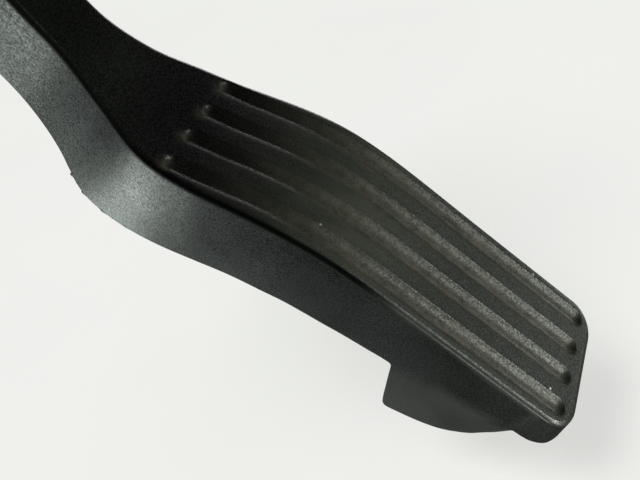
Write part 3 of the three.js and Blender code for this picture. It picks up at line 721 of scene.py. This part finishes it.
# sections of the outside and the cavity: (from, to, step) along s
OUTER_RUNS = [
    (2.8, 4.3, 0.5), (4.4, 7.5, 0.2), (7.55, 10.4, 0.25), (10.5, 14.2, 0.12), (14.6, 32.5, 1.0),
    (33.0, 38.6, 0.35), (39.4, 49.0, 1.3), (49.2, 51.7, 0.3), (52.6, 140.2, 1.35),
    (140.6, 144.3, 0.2), (145, 180, 0.9), (181, 205, 1.2), (207, 284, 3.2)]
CAVITY_RUNS = [(11, 60, 2.5), (60, 150, 3.0), (150, 200, 1.8), (202, 268, 5.0)]
CAVITY_END = 268
CAVITY_TOE_STEPS = np.array([0, 0.02, 0.07, 0.15, 0.27, 0.42, 0.6, 0.8, 1.0])
# columns of points across a groove and across the land between two
GROOVE_COLUMNS = [0.0] + [side * x for side in (-1, 1) for x in (
    0.45, 0.95, 1.45, 2.0, 2.45, 2.7, 2.86, 2.98, 3.12, 3.3)]
LAND_COLUMNS = (-1.1, 0, 1.1)
OUTER_GROOVE = 1.5 * GROOVE_PITCH
PAST_GROOVE = 3.4  # from the outer groove's centre to the margin
WALL_STEPS = np.array([0.04, 0.1, 0.2, 0.33, 0.47, 0.6, 0.73, 0.84, 0.93, 1.0])
ROOT_N = -SKIN + 0.4  # ribs reach this far up, into the skin
RIB_OVERLAP = 0.5  # and this far into the side walls


def sections(first, runs, last):
    parts = [first, *(np.arange(*run) for run in runs), [last]]
    return np.unique(np.round(np.concatenate(parts), 4))


def lever_outside():
    columns = np.array(sorted(
        [row * GROOVE_PITCH + x for row in GROOVE_ROWS for x in GROOVE_COLUMNS]
        + [row * GROOVE_PITCH + x for row in (-1, 0, 1) for x in LAND_COLUMNS]))
    distance = np.abs(columns)
    rings = []
    for s in sections(MARGIN * MARGIN_STEPS, OUTER_RUNS, HUB_S):
        half = float(half_width(s))
        limit = half - MARGIN
        # squeeze the columns to the width that is there
        inner, outer = min(OUTER_GROOVE, limit - 1.0), min(OUTER_GROOVE + PAST_GROOVE, limit)
        middle = np.sign(columns) * np.where(
            distance <= OUTER_GROOVE, distance * inner / OUTER_GROOVE,
            inner + (distance - OUTER_GROOVE) / PAST_GROOVE * (outer - inner))
        margin = half - MARGIN * MARGIN_STEPS
        xs = np.concatenate([-margin, middle, margin[::-1]])
        depth = lower(s)
        wall_n = -EDGE_R - (depth - EDGE_R) * WALL_STEPS
        sides = np.full(len(WALL_STEPS), half)
        ring_x = np.concatenate([xs, sides, [half * 0.5, 0, -half * 0.5], -sides])
        ring_n = np.concatenate([top_height(s, xs), wall_n, [-depth] * 3, wall_n[::-1]])
        drop = np.concatenate([edge_drop(s, xs), -wall_n, [depth] * 3, -wall_n[::-1]])
        rings.append(place(lean(s, drop), ring_x, ring_n))
    return tube(rings)


def lever_cavity():
    """The hollow under the skin, open below."""
    open_n, draft, corner = -62, 0.35, 1.2
    toe_r = TOE_R - WALL
    rings = []
    for s in sections(WALL + 7.0 * CAVITY_TOE_STEPS, CAVITY_RUNS, CAVITY_END):
        from_wall = s - WALL
        half = float(side_half(s)) - WALL
        if from_wall < toe_r:
            half = half - toe_r + math.sqrt(max(0, toe_r * toe_r - (toe_r - from_wall) ** 2))
        left = [(-half, open_n), (-half + draft, -SKIN - corner)]
        left += [(-half + draft + corner * (1 - math.cos(a)), -SKIN - corner + corner * math.sin(a))
                 for a in (0.4, 0.8, 1.2, math.pi / 2)]
        top = np.linspace(-half + draft + corner, half - draft - corner, 7)[1:-1]
        loop = left + [(x, -SKIN) for x in top] + [(-x, n) for x, n in reversed(left)]
        loop_n = np.array([p[1] for p in loop])
        rings.append(place(lean(s, -loop_n), [p[0] for p in loop], loop_n))
    return tube(rings)


def cross_wall(s, free_n):
    """A wall across the underside at s, thinner at its free edge."""
    half = float(half_width(s)) - WALL + RIB_OVERLAP
    root, tip = 1.0, 0.75
    return tube([place([s + side * t for t in (tip, root, root, tip)],
                       [-half, -half, half, half], [free_n, ROOT_N, ROOT_N, free_n])
                 for side in (-1, 1)])


def lever_ribs():
    ribs = []
    # keel along the middle
    ribs.append(tube([
        place(s, [-0.8, -1.1, 1.1, 0.8], [-lower(s) + 5, ROOT_N, ROOT_N, -lower(s) + 5])
        for s in np.arange(12.0, 150.1, 3.0)]))
    ribs += [cross_wall(s, -lower(s) + 4) for s in (60, 80, 100, 120, 140)]
    ribs += [cross_wall(s, n) for s, n in ((15, -36.0), (23, -42.0), (31, -46.0))]
    # sloping wall behind the lug, (s, n)
    heel = [(50.4, -25.7), (43.9, -36.4), (38.3, -45.9), (36.4, -45.0), (41.7, -34.9),
            (47.6, -24.9), (47.6, ROOT_N), (50.0, ROOT_N)]
    ribs.append(prism([tuple(place(s, 0, n)[1:]) for s, n in heel], "x", -20.3, 20.3))
    # zigzag rib up the neck and arm, turning at these stations
    turns = (152, 163, 176, 191, 206, 221, 236)
    for i, (a, b) in enumerate(zip(turns, turns[1:])):
        side = 1 if i % 2 else -1
        half = min(float(half_width(a)), float(half_width(b))) - WALL + RIB_OVERLAP
        rings = []
        for t in np.linspace(0, 1, 7):
            s = a + (b - a) * t
            free_n = -lower(s) + 3
            rings.append(place([s - 0.9, s + 0.9, s + 1.15, s - 1.15],
                               [side * half * (1 - 2 * t)] * 4, [free_n, free_n, ROOT_N, ROOT_N]))
        ribs.append(tube(rings))
    # pad across the open side of the arm
    ribs.append(tube([place([s] * 4, [-8, 8, 8, -8], [-30, -30, -26.4, -26.4])
                      for s in np.arange(238, 256.1, 3.0)]))
    return ribs


def lever_hub():
    """Hub disc, barrel, the block above and behind the hub, and two ledges in front below it."""
    barrel = [(-24, 0), (-24, 8.9), (-23.4, 9.5), (-10.6, 9.5), (-9.8, 9.9), (-9.1, 10.8)]
    tail = [(-6, 11), (6, 20), (14, 22), (27.7, 22), (27.7, 11), (16, 3), (6, -4)]
    parts = [
        turned(-9.3, 9.3, radius=15, rounding=1.6, edge=HUB_EDGE, segments=96),
        revolve(mirrored(barrel), segments=80),
        prism([(PIVOT_Y + y, PIVOT_Z + z) for y, z in tail], "x", -7.5, 7.5, 1.2, 3)]
    for side in (-1, 1):
        parts.append(block(sorted((side * 8.5, side * 13.3)), (PIVOT_Y - 18.9, PIVOT_Y - 14.45),
                           (PIVOT_Z - 29, PIVOT_Z - 19), 0.6))
    return parts


def flash_nibs():
    """Tiny nibs of flash on the free edge of the -x skirt, (s, length)."""
    nibs = []
    for s, length in ((160.6, 0.4), (157.0, 0.45), (152.4, 0.35), (147.4, 0.22)):
        half = float(half_width(s))
        root, tip = -lower(s) + 0.3, -lower(s) - length
        nibs.append(tube([
            place([s - 0.8, s + 0.8, s + 0.35, s - 0.35], [x] * 4, [root, root, tip, tip])
            for x in (-half + 0.02, -half + 0.5)]))
    return nibs


# shine of the skirt along s
SHEEN_S = [12, 28, 40, 52, 66, 80, 96, 118, 130, 142, 150, 158, 166, 178, 190, 205, 230]
SHEEN = [1.25, 1.35, 1.1, 0.9, 1.15, 1.3, 1.12, 1.08, 1.0, 1.0, 1.2, 1.02, 0.80, 1.00, 1.40,
         1.50, 1.50]


def paint_lever(arm):
    """Writes the masks of lever_plastic, one value per point."""
    co = np.array([v.co for v in arm.data.vertices], float) * 1000
    s, n = to_sn(co[:, 1], co[:, 2])
    x = co[:, 0]
    on_top = (n > -2.2) & (s < 300)
    groove, lip, tip, rim = np.zeros((4, len(s)))
    for row in GROOVE_ROWS:
        middle = row * GROOVE_PITCH
        r = groove_distance(s, x, row)
        from_lip = np.abs(r - GROOVE_HALF)
        groove = np.maximum(groove, np.clip(1 - (r / GROOVE_HALF) ** 2, 0, 1))
        # the -x lip of each groove gets the most: wear with painted highlight
        wear_and_highlight = np.where(x < middle, 0.0 if row == GROOVE_ROWS[0] else 0.8, 0.12)
        lip = np.maximum(lip, wear_and_highlight * np.clip(1 - from_lip / 0.8, 0, 1) ** 1.3)
        rim = np.maximum(rim, np.where(x < middle + 0.6, 1.0, 0.0)
                         * np.clip(1.25 - from_lip / 0.9, 0, 1))
        from_tip = np.hypot(s - (GROOVE_END - 1.3), 0.8 * (x - middle + 1.2))
        tip = np.maximum(tip, np.clip(1 - from_tip / 3.2, 0, 1))
    # painted highlight: a lighter strip on the margin along the -x edge and the toe
    margin_highlight = (np.clip(1 - np.abs(inside_plan(s, x) - 1.8) / 1.5, 0, 1)
              * np.where((x < -8) | (s < 7), 1.0, 0.0)
              * np.clip((98 - s) / 36, 0, 1) * np.where(s < 7, 0.5, 1.0))
    edge = np.clip(edge_drop(s, x) / 0.35, 0, 1)
    lug_top = 16.6 + (s - 10.7) * 0.235
    on_lug = (s > 5) & (s < 51.5) & (np.abs(x) > 19)
    masks = {
        "groove": np.where(on_top, groove, 0),  # 1 at the bottom of a groove
        "tip": np.where(on_top, tip, 0),  # closed upper ends of the grooves
        "rim": np.where(on_top, rim, 0),  # lip on the -x side of each groove, worn matt
        "margin_highlight": np.where(on_top, margin_highlight, 0),  # painted highlight: margin along the -x edge and the toe lightened
        "dull": np.where(on_top, np.clip((s - 150) / 40, 0, 1), 0),  # top of neck and arm
        "lip": np.where(on_top, lip, 0),  # lips of the grooves: wear, with painted highlight strongest on the -x lips
        "along": np.clip(s / HUB_S, 0, 1),  # 0 at the toe, 1 at the hub
        "edge": np.where((n > -2.6) & (s < 275), edge, 0),  # rounded top edge
        "lug": np.where(on_lug, np.clip((-n - lug_top) / 3.0, 0, 1), 0),  # sides of the lug
        "sheen": np.where(n < -2.2, np.interp(s, SHEEN_S, SHEEN), 1.0),
        "toe": np.where(n < -1.5, np.clip((16 + 0.3 * n - s) / 6, 0, 1), 0),  # toe wall
        "tread": np.where(on_top & (s < 160), np.clip((160 - s) / 25, 0, 1), 0),
    }
    for name, values in masks.items():
        attribute = arm.data.attributes.new(name, "FLOAT", "POINT")
        attribute.data.foreach_set("value", np.asarray(values, np.float32))


arm = combine(
    lever_outside(),
    (DIFFERENCE, [lever_cavity()]),
    (UNION, lever_ribs() + lever_hub() + flash_nibs()),
    (DIFFERENCE, [rod(-40, 40, radius=4.3)]))
finish_piece(arm, "pedal_arm", "pedal", "lever_plastic", angle=38)
paint_lever(arm)

# ---------------------------------------------------------------- shaft, springs, turned pieces
# profiles are (x, radius) about the pivot
SHAFT = [(-35.2, 0), (-35.2, 3.4), (-34.8, 3.95), (-33.8, 4.0), (-33.7, 3.2), (-32.4, 3.2),
         (-32.3, 4.0), (34.6, 4.0), (35.0, 3.6), (35.0, 0)]
BUSH = [(31.0, 4.35), (31.0, 6.3), (30.7, 6.6), (27.0, 6.6), (26.9, 8.8), (26.7, 9.0),
        (26.0, 9.0), (25.8, 8.8), (25.8, 4.6), (26.1, 4.35)]
CARRIER = [(31.7, 4.35), (31.7, 9.7), (32.0, 10), (36.0, 10), (36.2, 9.8), (36.2, 8.7),
           (33.2, 8.7), (33.2, 4.35)]
COIL_R, WIRE_R = 12.9, 1.2
COIL_TURNS, COIL_PITCH = 4.25, 2.75
SPRING_START = 11.9
SPRING_END = SPRING_START + COIL_TURNS * COIL_PITCH


def return_spring(side):
    """Leg rising on the -y side of the pivot, coil, then a leg running towards +y above it."""
    path = [(side * SPRING_START, PIVOT_Y - COIL_R, PIVOT_Z - 24 + d)
            for d in np.linspace(0, 23.2, 12)]
    for u in np.linspace(0, 1, 260):
        a = math.pi - u * COIL_TURNS * 2 * math.pi
        path.append((side * (SPRING_START + u * COIL_TURNS * COIL_PITCH),
                     PIVOT_Y + COIL_R * math.cos(a), PIVOT_Z + COIL_R * math.sin(a)))
    path += [(side * SPRING_END, PIVOT_Y + d, PIVOT_Z + COIL_R)
             for d in np.linspace(1.2, 25, 12)]
    path = np.array(path)
    tangents = np.gradient(path, axis=0)
    tangents /= np.linalg.norm(tangents, axis=1)[:, None]
    across = np.array([1.0, 0, 0])
    rings = []
    for p, t in zip(path, tangents):
        u = across - t * (across @ t)
        u /= np.linalg.norm(u)
        v = np.cross(t, u)
        rings.append([p + WIRE_R * (math.cos(q) * u + math.sin(q) * v)
                      for q in np.linspace(0, 2 * math.pi, 14, endpoint=False)])
    return tube(rings)


def wave_washer():
    """Thin washer with three waves round it."""
    section = ((4.7, -0.2), (6.8, -0.2), (9.0, -0.2), (9.0, 0.2), (6.8, 0.2), (4.7, 0.2))
    rings = []
    for a in np.linspace(0, 2 * math.pi, 96, endpoint=False):
        x = -24.9 + 0.28 * math.cos(3 * a)
        rings.append([(x + offset, PIVOT_Y + r * math.cos(a), PIVOT_Z + r * math.sin(a))
                      for r, offset in section])
    return tube(rings, closed=True)


finish_piece(revolve(SHAFT), "pivot_shaft", "pedal", "steel")
for side, name in ((-1, "left"), (1, "right")):
    spring = finish_piece(return_spring(side), f"return_spring_{name}", "pedal", "spring_steel",
                          ride=False, angle=50)
    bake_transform(spring)
    start, end = sorted((side * 10.4, side * 23.8))
    finish_piece(turned(start, end, radius=10.9, rounding=0.25, bore=9.85, segments=72),
                 f"spring_sleeve_{name}", "pedal", "bearing_plastic")
    finish_piece(revolve([(side * x, r) for x, r in BUSH], closed=True),
                 f"bush_{name}", "housing", "bearing_plastic")
finish_piece(turned(24.3, 25.5, radius=9.3, rounding=0.2, bore=4.4),
             "friction_washer", "pedal", "bearing_plastic")
finish_piece(wave_washer(), "wave_washer", "pedal", "spring_steel")
clip_slot = block((-34.5, -31.5), around(PIVOT_Y, 2.6), (PIVOT_Z - 9, PIVOT_Z))
clip = combine(turned(-33.55, -32.65, radius=7, rounding=0.15, bore=3.5, segments=56),
               (DIFFERENCE, [clip_slot]))
finish_piece(clip, "shaft_clip", "pedal", "spring_steel")
finish_piece(revolve(CARRIER, closed=True), "magnet_carrier", "pedal", "dark_plastic")
finish_piece(turned(33.5, 36.1, radius=8.35, rounding=0.25, bore=4.7),
             "ring_magnet", "pedal", "magnet")

# ---------------------------------------------------------------- housing
PLATE = 5.0  # thickness of the mounting plate
RIB_ROOT_Y, BOSS_ROOT_Y = -4.5, -4  # ribs and bosses start inside the plate
EARS = [(-40, 36), (-40, -34), (40, -34)]  # x, z of the mounting points
EAR_R = 9.5
CHEEK_IN, CHEEK_OUT = 27, 31
NOSE_R, ROOF_T = 24.5, 3
CHAMBER_HALF, CHAMBER_CORNER = 24.5, 8
CHAMBER_X = (27.5, 36)
FULL_STOP_Z, IDLE_STOP_Z = -33, 30.5
SCREW_OFFSET, SCREW_BOSS_R = 22.3, 4.6
SCREWS = [(PIVOT_Y + y * SCREW_OFFSET, PIVOT_Z + z * SCREW_OFFSET)
          for y, z in ((1, 1), (-1, 1), (-1, -1), (1, -1))]
# triangular ribs from the cheeks to the ear arms: (x at the cheek, x outside, z, reach)
GUSSETS = [(-30.5, -46, 24, 26), (-30.5, -46, -26, 20), (-30.5, -38, 0, 22), (30.5, 46, -26, 14)]
# lightening pockets in the back of the plate: (z span, x spans)
POCKETS = [
    ((36.4, 47.6), [(-28.6, -16.6), (-15.0, -8.6), (8.6, 15.0), (16.6, 28.6)]),
    *((z_span, [(-28.6, -15.8), (15.8, 28.6)])
      for z_span in ((21.4, 34.8), (6.8, 19.8), (-9.8, 5.2), (-24.4, -11.4))),
    ((-43.6, -26.0), [(-28.6, -20.6), (20.6, 28.6), (-19.0, -9.6), (9.6, 19.0)])]


def ear(x, z):
    """Disc round a mounting point, the arm to the plate and the boss."""
    inner = math.copysign(1, x) * 29
    return [
        turned(-PLATE, 0, radius=EAR_R, rounding=0.7, axis="y", centre=(x, z)),
        block(sorted((x, inner)), (-PLATE, 0), around(z, EAR_R), 0.7, 3),
        turned(-9, BOSS_ROOT_Y, radius=8, rounding=0.6, axis="y", centre=(x, z))]


def cheek_rib(degrees):
    """Stiffening rib on the outside of the -x cheek, pointing away from the pivot."""
    a = math.radians(degrees)
    cos, sin = math.cos(a), math.sin(a)
    inner, outer, half = 12.5, 22.6, 0.9
    points = [(PIVOT_Y + r * cos - w * sin, PIVOT_Z + r * sin + w * cos)
              for r, w in ((inner, half), (inner, -half), (outer, -half), (outer, half))]
    return prism(points, "x", -32.4, -30.5, 0.35)


def housing_walls():
    parts = [part for x, z in EARS for part in ear(x, z)]
    cheek = [(-3, 48), (-32, 48), *arc(*PIVOT, NOSE_R, 105, 240, 40), (-3, -36)]
    for span in ((-CHEEK_OUT, -CHEEK_IN), (CHEEK_IN, CHEEK_OUT)):
        parts.append(prism(cheek, "x", *span, 0.8, 3))
    roof = [(-3, 48), (-32, 48), *arc(*PIVOT, NOSE_R, 105, 185, 30),
            *reversed(arc(*PIVOT, NOSE_R - ROOF_T, 105, 185, 30)), (-31.3, 45), (-3, 45)]
    parts.append(prism(roof, "x", -28.5, 28.5, 0.5, 2))
    # sensor chamber and its screw bosses
    parts.append(prism(pivot_square(CHAMBER_HALF, CHAMBER_CORNER), "x", *CHAMBER_X, 0.6, 3))
    parts += [turned(*CHAMBER_X, radius=SCREW_BOSS_R, rounding=0.5, centre=screw, segments=40)
              for screw in SCREWS]
    # bosses that carry the two bumpers
    parts.append(block((-8, 8), (-21.5, BOSS_ROOT_Y), around(FULL_STOP_Z, 8), 0.9, 3))
    parts.append(turned(-11, BOSS_ROOT_Y, radius=7.5, rounding=0.7, axis="y",
                        centre=(0, IDLE_STOP_Z), segments=56))
    # ledges on the cheeks above the spring legs
    for x_span in ((-28, -21.6), (21.6, 28)):
        parts.append(block(x_span, (PIVOT_Y + 12, PIVOT_Y + 25),
                           (PIVOT_Z + 14.45, PIVOT_Z + 17.8), 0.5))
    # webs beside the lower bumper boss
    web = [(RIB_ROOT_Y, -36), (RIB_ROOT_Y, -45.5), (-21, -36)]
    parts += [prism(web, "x", x, x + 2.5, 0.4) for x in (-14, 11.5)]
    for x0, x1, z, reach in GUSSETS:
        triangle = [(x0, RIB_ROOT_Y), (x1, RIB_ROOT_Y), (x0, RIB_ROOT_Y - reach)]
        parts.append(prism(triangle, "z", z, z + 2.4, 0.4))
    return parts + [cheek_rib(degrees) for degrees in (35, 80, 125, 170, 215)]


def housing_holes():
    cuts = [prism(pivot_square(21.5, 6), "x", 31, 40)]
    cuts += [rod(30, 40, radius=1.75, centre=screw, segments=28) for screw in SCREWS]
    cuts.append(rod(-60, 60, radius=6.9))
    # holes for the stems of the bumpers
    cuts.append(revolve([(-22, 0), (-22, 2.9), (-21.2, 2.6), (-12, 2.6), (-12, 0)], axis="y",
                        centre=(0, FULL_STOP_Z), segments=32))
    cuts.append(rod(-12, -6.5, radius=2.3, axis="y", centre=(0, IDLE_STOP_Z), segments=32))
    cuts += [rod(-20, 5, radius=5.6, axis="y", centre=centre, segments=56) for centre in EARS]
    for (z0, z1), x_spans in POCKETS:
        for x0, x1 in x_spans:
            outline = round_rect((x0 + x1) / 2, (z0 + z1) / 2, (x1 - x0) / 2, (z1 - z0) / 2,
                                 1.6, 5)
            cuts.append(prism(outline, "y", -1.9, 3))
    return cuts


# cap over the -x end of the shaft, (x, radius)
CAP = [(-39, 0), (-39, 6.6), (-38.6, 7.0), (-38.6, 8.6), (-39, 9.0), (-39, 11.2),
       (-38.75, 12.2), (-38.1, 12.8), (-37.2, 13), (-31.2, 13), (-31.2, 11), (-37, 11), (-37, 0)]
# bumpers with their stems, (y, radius)
FULL_BUMPER = [(-28.5, 0), (-28.5, 3.6), (-28.1, 4.9), (-27.2, 5.8), (-26.2, 6.0), (-21.7, 6.0),
               (-21.7, 2.3), (-14, 2.3), (-14, 0)]
IDLE_BUMPER = [(-18, 0), (-18, 3.6), (-17.6, 4.8), (-16.8, 5.5), (-16, 5.6), (-11.2, 5.6),
               (-11.2, 2.0), (-7.5, 2.0), (-7.5, 0)]

plate = prism([(-31, -46), (31, -46), (31, 50), (-31, 50)], "y", -PLATE, 0, 0.7, 3)
housing = combine(plate, (UNION, housing_walls()), (DIFFERENCE, housing_holes()))
finish_piece(housing, "housing", "housing", "housing_plastic")
finish_piece(revolve(CAP, segments=80), "pivot_cap", "housing", "cover_plastic", angle=30)
for node, profile, z in (("full_travel_bumper", FULL_BUMPER, FULL_STOP_Z),
                         ("idle_stop_bumper", IDLE_BUMPER, IDLE_STOP_Z)):
    finish_piece(revolve(profile, axis="y", centre=(0, z), segments=56),
                 node, "housing", "stop_rubber")
for i, centre in enumerate(EARS):
    sleeve = turned(-9.2, -0.05, radius=5.3, rounding=0.3, bore=3.4, axis="y", centre=centre,
                    segments=56)
    finish_piece(sleeve, f"mounting_sleeve_{i + 1}", "housing", "steel")

# ---------------------------------------------------------------- sensor cover
COVER_X = (37, 39.5)
PINS, PIN_PITCH = 6, 3.5
# (x, radius)
SCREW = [(31.6, 0), (31.6, 0.9), (32.4, 1.4), (39.6, 1.4), (39.6, 3.1), (39.8, 3.3), (41.0, 3.3),
         (41.5, 3.0), (41.8, 2.3), (41.8, 0)]


def sensor_cover():
    """Flange and raised box over the chamber, with a plug shroud open at the top."""
    flange = prism(pivot_square(CHAMBER_HALF, CHAMBER_CORNER), "x", *COVER_X, 0.5, 3)
    parts = [
        prism(pivot_square(21.2, 7), "x", 39.0, 45, 1.4, 4),
        block((38.2, 47.4), around(PIVOT_Y, 13.6), (33, 59), 1.0, 3),  # shroud
        block((47.0, 48.9), around(PIVOT_Y, 3), (44, 50), 0.5)]  # latch
    parts += [block((46.8, 48.1), around(PIVOT_Y + y, 0.8), (41, 58.6), 0.3)
              for y in (-10.5, 10.5)]
    parts += [turned(*COVER_X, radius=SCREW_BOSS_R, rounding=0.5, centre=screw, segments=40)
              for screw in SCREWS]
    parts += [block((44.7, 45.7), around(PIVOT_Y + k * 9, 0.7), (PIVOT_Z - 15, PIVOT_Z + 11), 0.3)
              for k in (-1, 0, 1)]
    cuts = [
        prism(pivot_square(18.9, 5), "x", 36, 42.8),
        block((38.8, 45.6), around(PIVOT_Y, 11.8), (41, 60), 0.8)]  # plug socket
    cuts += [block((40.7, 42.2), around(PIVOT_Y - 2.5 * PIN_PITCH + i * PIN_PITCH, 0.75), (30, 45))
             for i in range(PINS)]
    cuts += [rod(30, 60, radius=2.0, centre=screw, segments=28) for screw in SCREWS]
    return combine(flange, (UNION, parts), (DIFFERENCE, cuts))


def cover_screw(y, z):
    """Screw with a six-pointed socket."""
    star = []
    for j in range(36):
        a = j * math.pi / 18
        r = 1.28 + 0.26 * math.cos(6 * a)
        star.append((y + r * math.cos(a), z + r * math.sin(a)))
    return combine(revolve(SCREW, centre=(y, z), segments=40),
                   (DIFFERENCE, [prism(star, "x", 40.6, 43)]))


finish_piece(sensor_cover(), "sensor_cover", "housing", "cover_plastic")
for i, (y, z) in enumerate(SCREWS):
    finish_piece(cover_screw(y, z), f"cover_screw_{i + 1}", "housing", "steel", angle=30)

# CAD nodes that stay as they are take a finished material
for node, slot in (("cover_gasket", "seal_rubber"), ("sensor_board", "board"),
                   ("hall_sensor_1", "dark_plastic"), ("hall_sensor_2", "dark_plastic"),
                   *((f"terminal_pin_{i + 1}", "terminal") for i in range(PINS))):
    slots = frame["nodes"][node].data.materials
    slots.clear()
    slots.append(MATERIALS[slot])

scene.collection.children.unlink(scratch)
bpy.data.collections.remove(scratch)

# ---------------------------------------------------------------- floor and world, in metres
FLOOR_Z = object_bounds()[0].z - 0.031
FLOOR_HALF = 40.0


def floor_paper():
    mat = Shader("floor_paper")
    cloud = mat.noise(scale=4.5, detail=3.0)
    small_cloud = mat.noise(scale=11.0)
    weave = mat.noise(scale=900.0)
    color = mat.shades(cloud, ((0.828, 0.838, 0.818), (0.846, 0.852, 0.836)))
    color = mat.mix(mat.ramp(small_cloud, span=(0.35, 0.75), to=(0.0, 0.3)), color,
                    (0.828, 0.820, 0.822))
    mat.finish(color=color, roughness=0.9,
               normal=mat.bump(weave, distance=0.0001, strength=0.25), specular=0.2)


floor_mesh = bpy.data.meshes.new("floor")
floor_mesh.from_pydata([(x * FLOOR_HALF, y * FLOOR_HALF, FLOOR_Z)
                        for x, y in ((-1, -1), (1, -1), (1, 1), (-1, 1))], [], [(0, 1, 2, 3)])
floor = bpy.data.objects.new("floor", floor_mesh)
scene.collection.objects.link(floor)
floor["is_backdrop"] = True
floor.visible_glossy = False
floor.visible_shadow = False
floor_paper()
floor_mesh.materials.append(MATERIALS["floor_paper"])

# the world shows the camera a pale backdrop and lights the rest only faintly
world = bpy.data.worlds.new("studio")
scene.world = world
world.use_nodes = True
nodes, links = world.node_tree.nodes, world.node_tree.links
nodes.clear()
world_out = nodes.new("ShaderNodeOutputWorld")
seen = nodes.new("ShaderNodeBackground")
lit = nodes.new("ShaderNodeBackground")
mixer = nodes.new("ShaderNodeMixShader")
light_path = nodes.new("ShaderNodeLightPath")
seen.inputs["Color"].default_value = (0.838, 0.847, 0.826, 1)
lit.inputs["Color"].default_value = (0.93, 1.0, 0.95, 1)
lit.inputs["Strength"].default_value = 0.03
links.new(light_path.outputs["Is Camera Ray"], mixer.inputs[0])
links.new(lit.outputs[0], mixer.inputs[1])
links.new(seen.outputs[0], mixer.inputs[2])
links.new(mixer.outputs[0], world_out.inputs[0])

# ---------------------------------------------------------------- lights
lit_pieces = bpy.data.collections.new("lit_pieces")
lit_floor = bpy.data.collections.new("lit_floor")
lit_floor.objects.link(floor)

# the floor's own suns, (name, direction, strength, degrees across): an even one without
# shadows and a weaker one from the side that casts a faint soft shadow
FLOOR_SUNS = [
    ("floor_even", (0, 0, 1), 2.50, 30),
    ("floor_side", (-0.24, 0.24, 0.94), 0.70, 26)]
# soft round lamps about the lever, (direction, watts)
LAMPS = [
    ((-0.360, 0.861, -0.360), 0.715), ((-0.361, -0.792, -0.492), 3.823),
    ((-0.526, 0.834, -0.169), 0.475), ((0.707, -0.635, -0.312), 0.502),
    ((-0.209, -0.971, 0.116), 0.987), ((-0.162, 0.690, -0.705), 0.600),
    ((-0.735, -0.106, -0.670), 1.941), ((-0.075, -0.963, -0.259), 3.600),
    ((-0.291, 0.443, -0.848), 0.120), ((0.867, -0.491, -0.080), 0.150),
    ((-0.381, 0.794, -0.473), 0.100), ((0.463, -0.870, -0.170), 0.129),
    ((-0.552, 0.833, 0.030), 0.165), ((0.761, -0.578, 0.295), 0.050),
    ((-0.412, -0.904, -0.116), 0.850), ((0.647, -0.760, 0.062), 0.069),
    ((0.280, -0.900, 0.320), 0.060), ((-0.070, -0.930, 0.340), 0.080)]
LAMP_BACK, LAMP_FRONT = (0.89, 1.0, 0.93), (0.94, 1.0, 0.91)  # colours from +y and from -y
# soft boxes, (direction, watts, size): for the sides towards +x and +y, and for the housing
# and the small parts round the pivot
FAR_SIDE = [
    ((0.45, 0.87, 0.10), 9.0, 0.7), ((0.97, 0.10, 0.16), 5.0, 0.6),
    ((0.35, 0.45, -0.82), 4.0, 0.6), ((0.75, 0.48, 0.45), 1.8, 0.6)]
SMALL_PARTS = [
    ((-0.55, -0.55, 0.63), 7.0, 0.5), ((0.70, -0.60, 0.40), 5.0, 0.4),
    ((-0.80, 0.35, 0.50), 5.0, 0.5)]


def area(name, target, direction, distance, size, watts, receivers, color=(1.0, 1.0, 1.0)):
    """An area light that far from its target, for the receivers only."""
    data = bpy.data.lights.new(name, "AREA")
    data.energy = watts
    data.color = color
    data.size = size
    ob = bpy.data.objects.new(name, data)
    scene.collection.objects.link(ob)
    target = Vector(target)
    ob.location = spot = target + Vector(direction).normalized() * distance
    ob.rotation_euler = (target - spot).to_track_quat("-Z", "Y").to_euler()
    ob.visible_camera = False
    ob.light_linking.receiver_collection = receivers
    return data


for name, direction, strength, degrees in FLOOR_SUNS:
    sun = bpy.data.lights.new(name, "SUN")
    sun.energy = strength
    sun.angle = math.radians(degrees)
    sun.color = (1.0, 1.0, 0.985)
    ob = bpy.data.objects.new(name, sun)
    scene.collection.objects.link(ob)
    ob.rotation_euler = Vector(direction).to_track_quat("Z", "Y").to_euler()
    ob.light_linking.receiver_collection = lit_floor
    if name == "floor_even":
        ob.light_linking.blocker_collection = lit_floor
lamp_target = lever_point(95, -6, -6)
for i, (direction, watts) in enumerate(LAMPS):
    lamp = area(f"lamp_{i + 1}", lamp_target, direction, distance=0.9,
                size=0.28 if watts > 3 else 0.2, watts=watts, receivers=lit_pieces,
                color=LAMP_BACK if direction[1] > 0 else LAMP_FRONT)
    lamp.shape = "DISK"
for i, (direction, watts, size) in enumerate(FAR_SIDE):
    area(f"far_side_{i + 1}", (0, -0.09, -0.08), direction, distance=1.3, size=size,
         watts=watts, receivers=lit_pieces)
lit_small = bpy.data.collections.new("lit_small")
for i, (direction, watts, size) in enumerate(SMALL_PARTS):
    area(f"small_{i + 1}", (0, -0.04, 0.01), direction, distance=1.0, size=size,
         watts=watts, receivers=lit_small)

# ---------------------------------------------------------------- camera
CAMERA_FROM_TOE = Vector((-120.242, -36.529, 193.493)) * MM
CAMERA_RIGHT = (0.37190, -0.85717, -0.35631)
CAMERA_FORWARD = (0.56799, 0.51372, -0.64302)

cam_data = bpy.data.cameras.new("camera")
cam_data.sensor_fit = "HORIZONTAL"
cam_data.sensor_width = 36.0
cam_data.lens = 38.05565625
cam_data.clip_start = 0.01
cam_data.clip_end = 50
cam = bpy.data.objects.new("camera", cam_data)
scene.collection.objects.link(cam)
right = Vector(CAMERA_RIGHT).normalized()
forward = Vector(CAMERA_FORWARD).normalized()
up = right.cross(forward).normalized()
right = forward.cross(up).normalized()
turn = Matrix((right, up, -forward)).transposed().to_4x4()
cam.matrix_world = Matrix.Translation(lever_point(0, 0, 0) + CAMERA_FROM_TOE) @ turn
scene.camera = cam

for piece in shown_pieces():
    lit_pieces.objects.link(piece)
    if piece is not arm:
        lit_small.objects.link(piece)
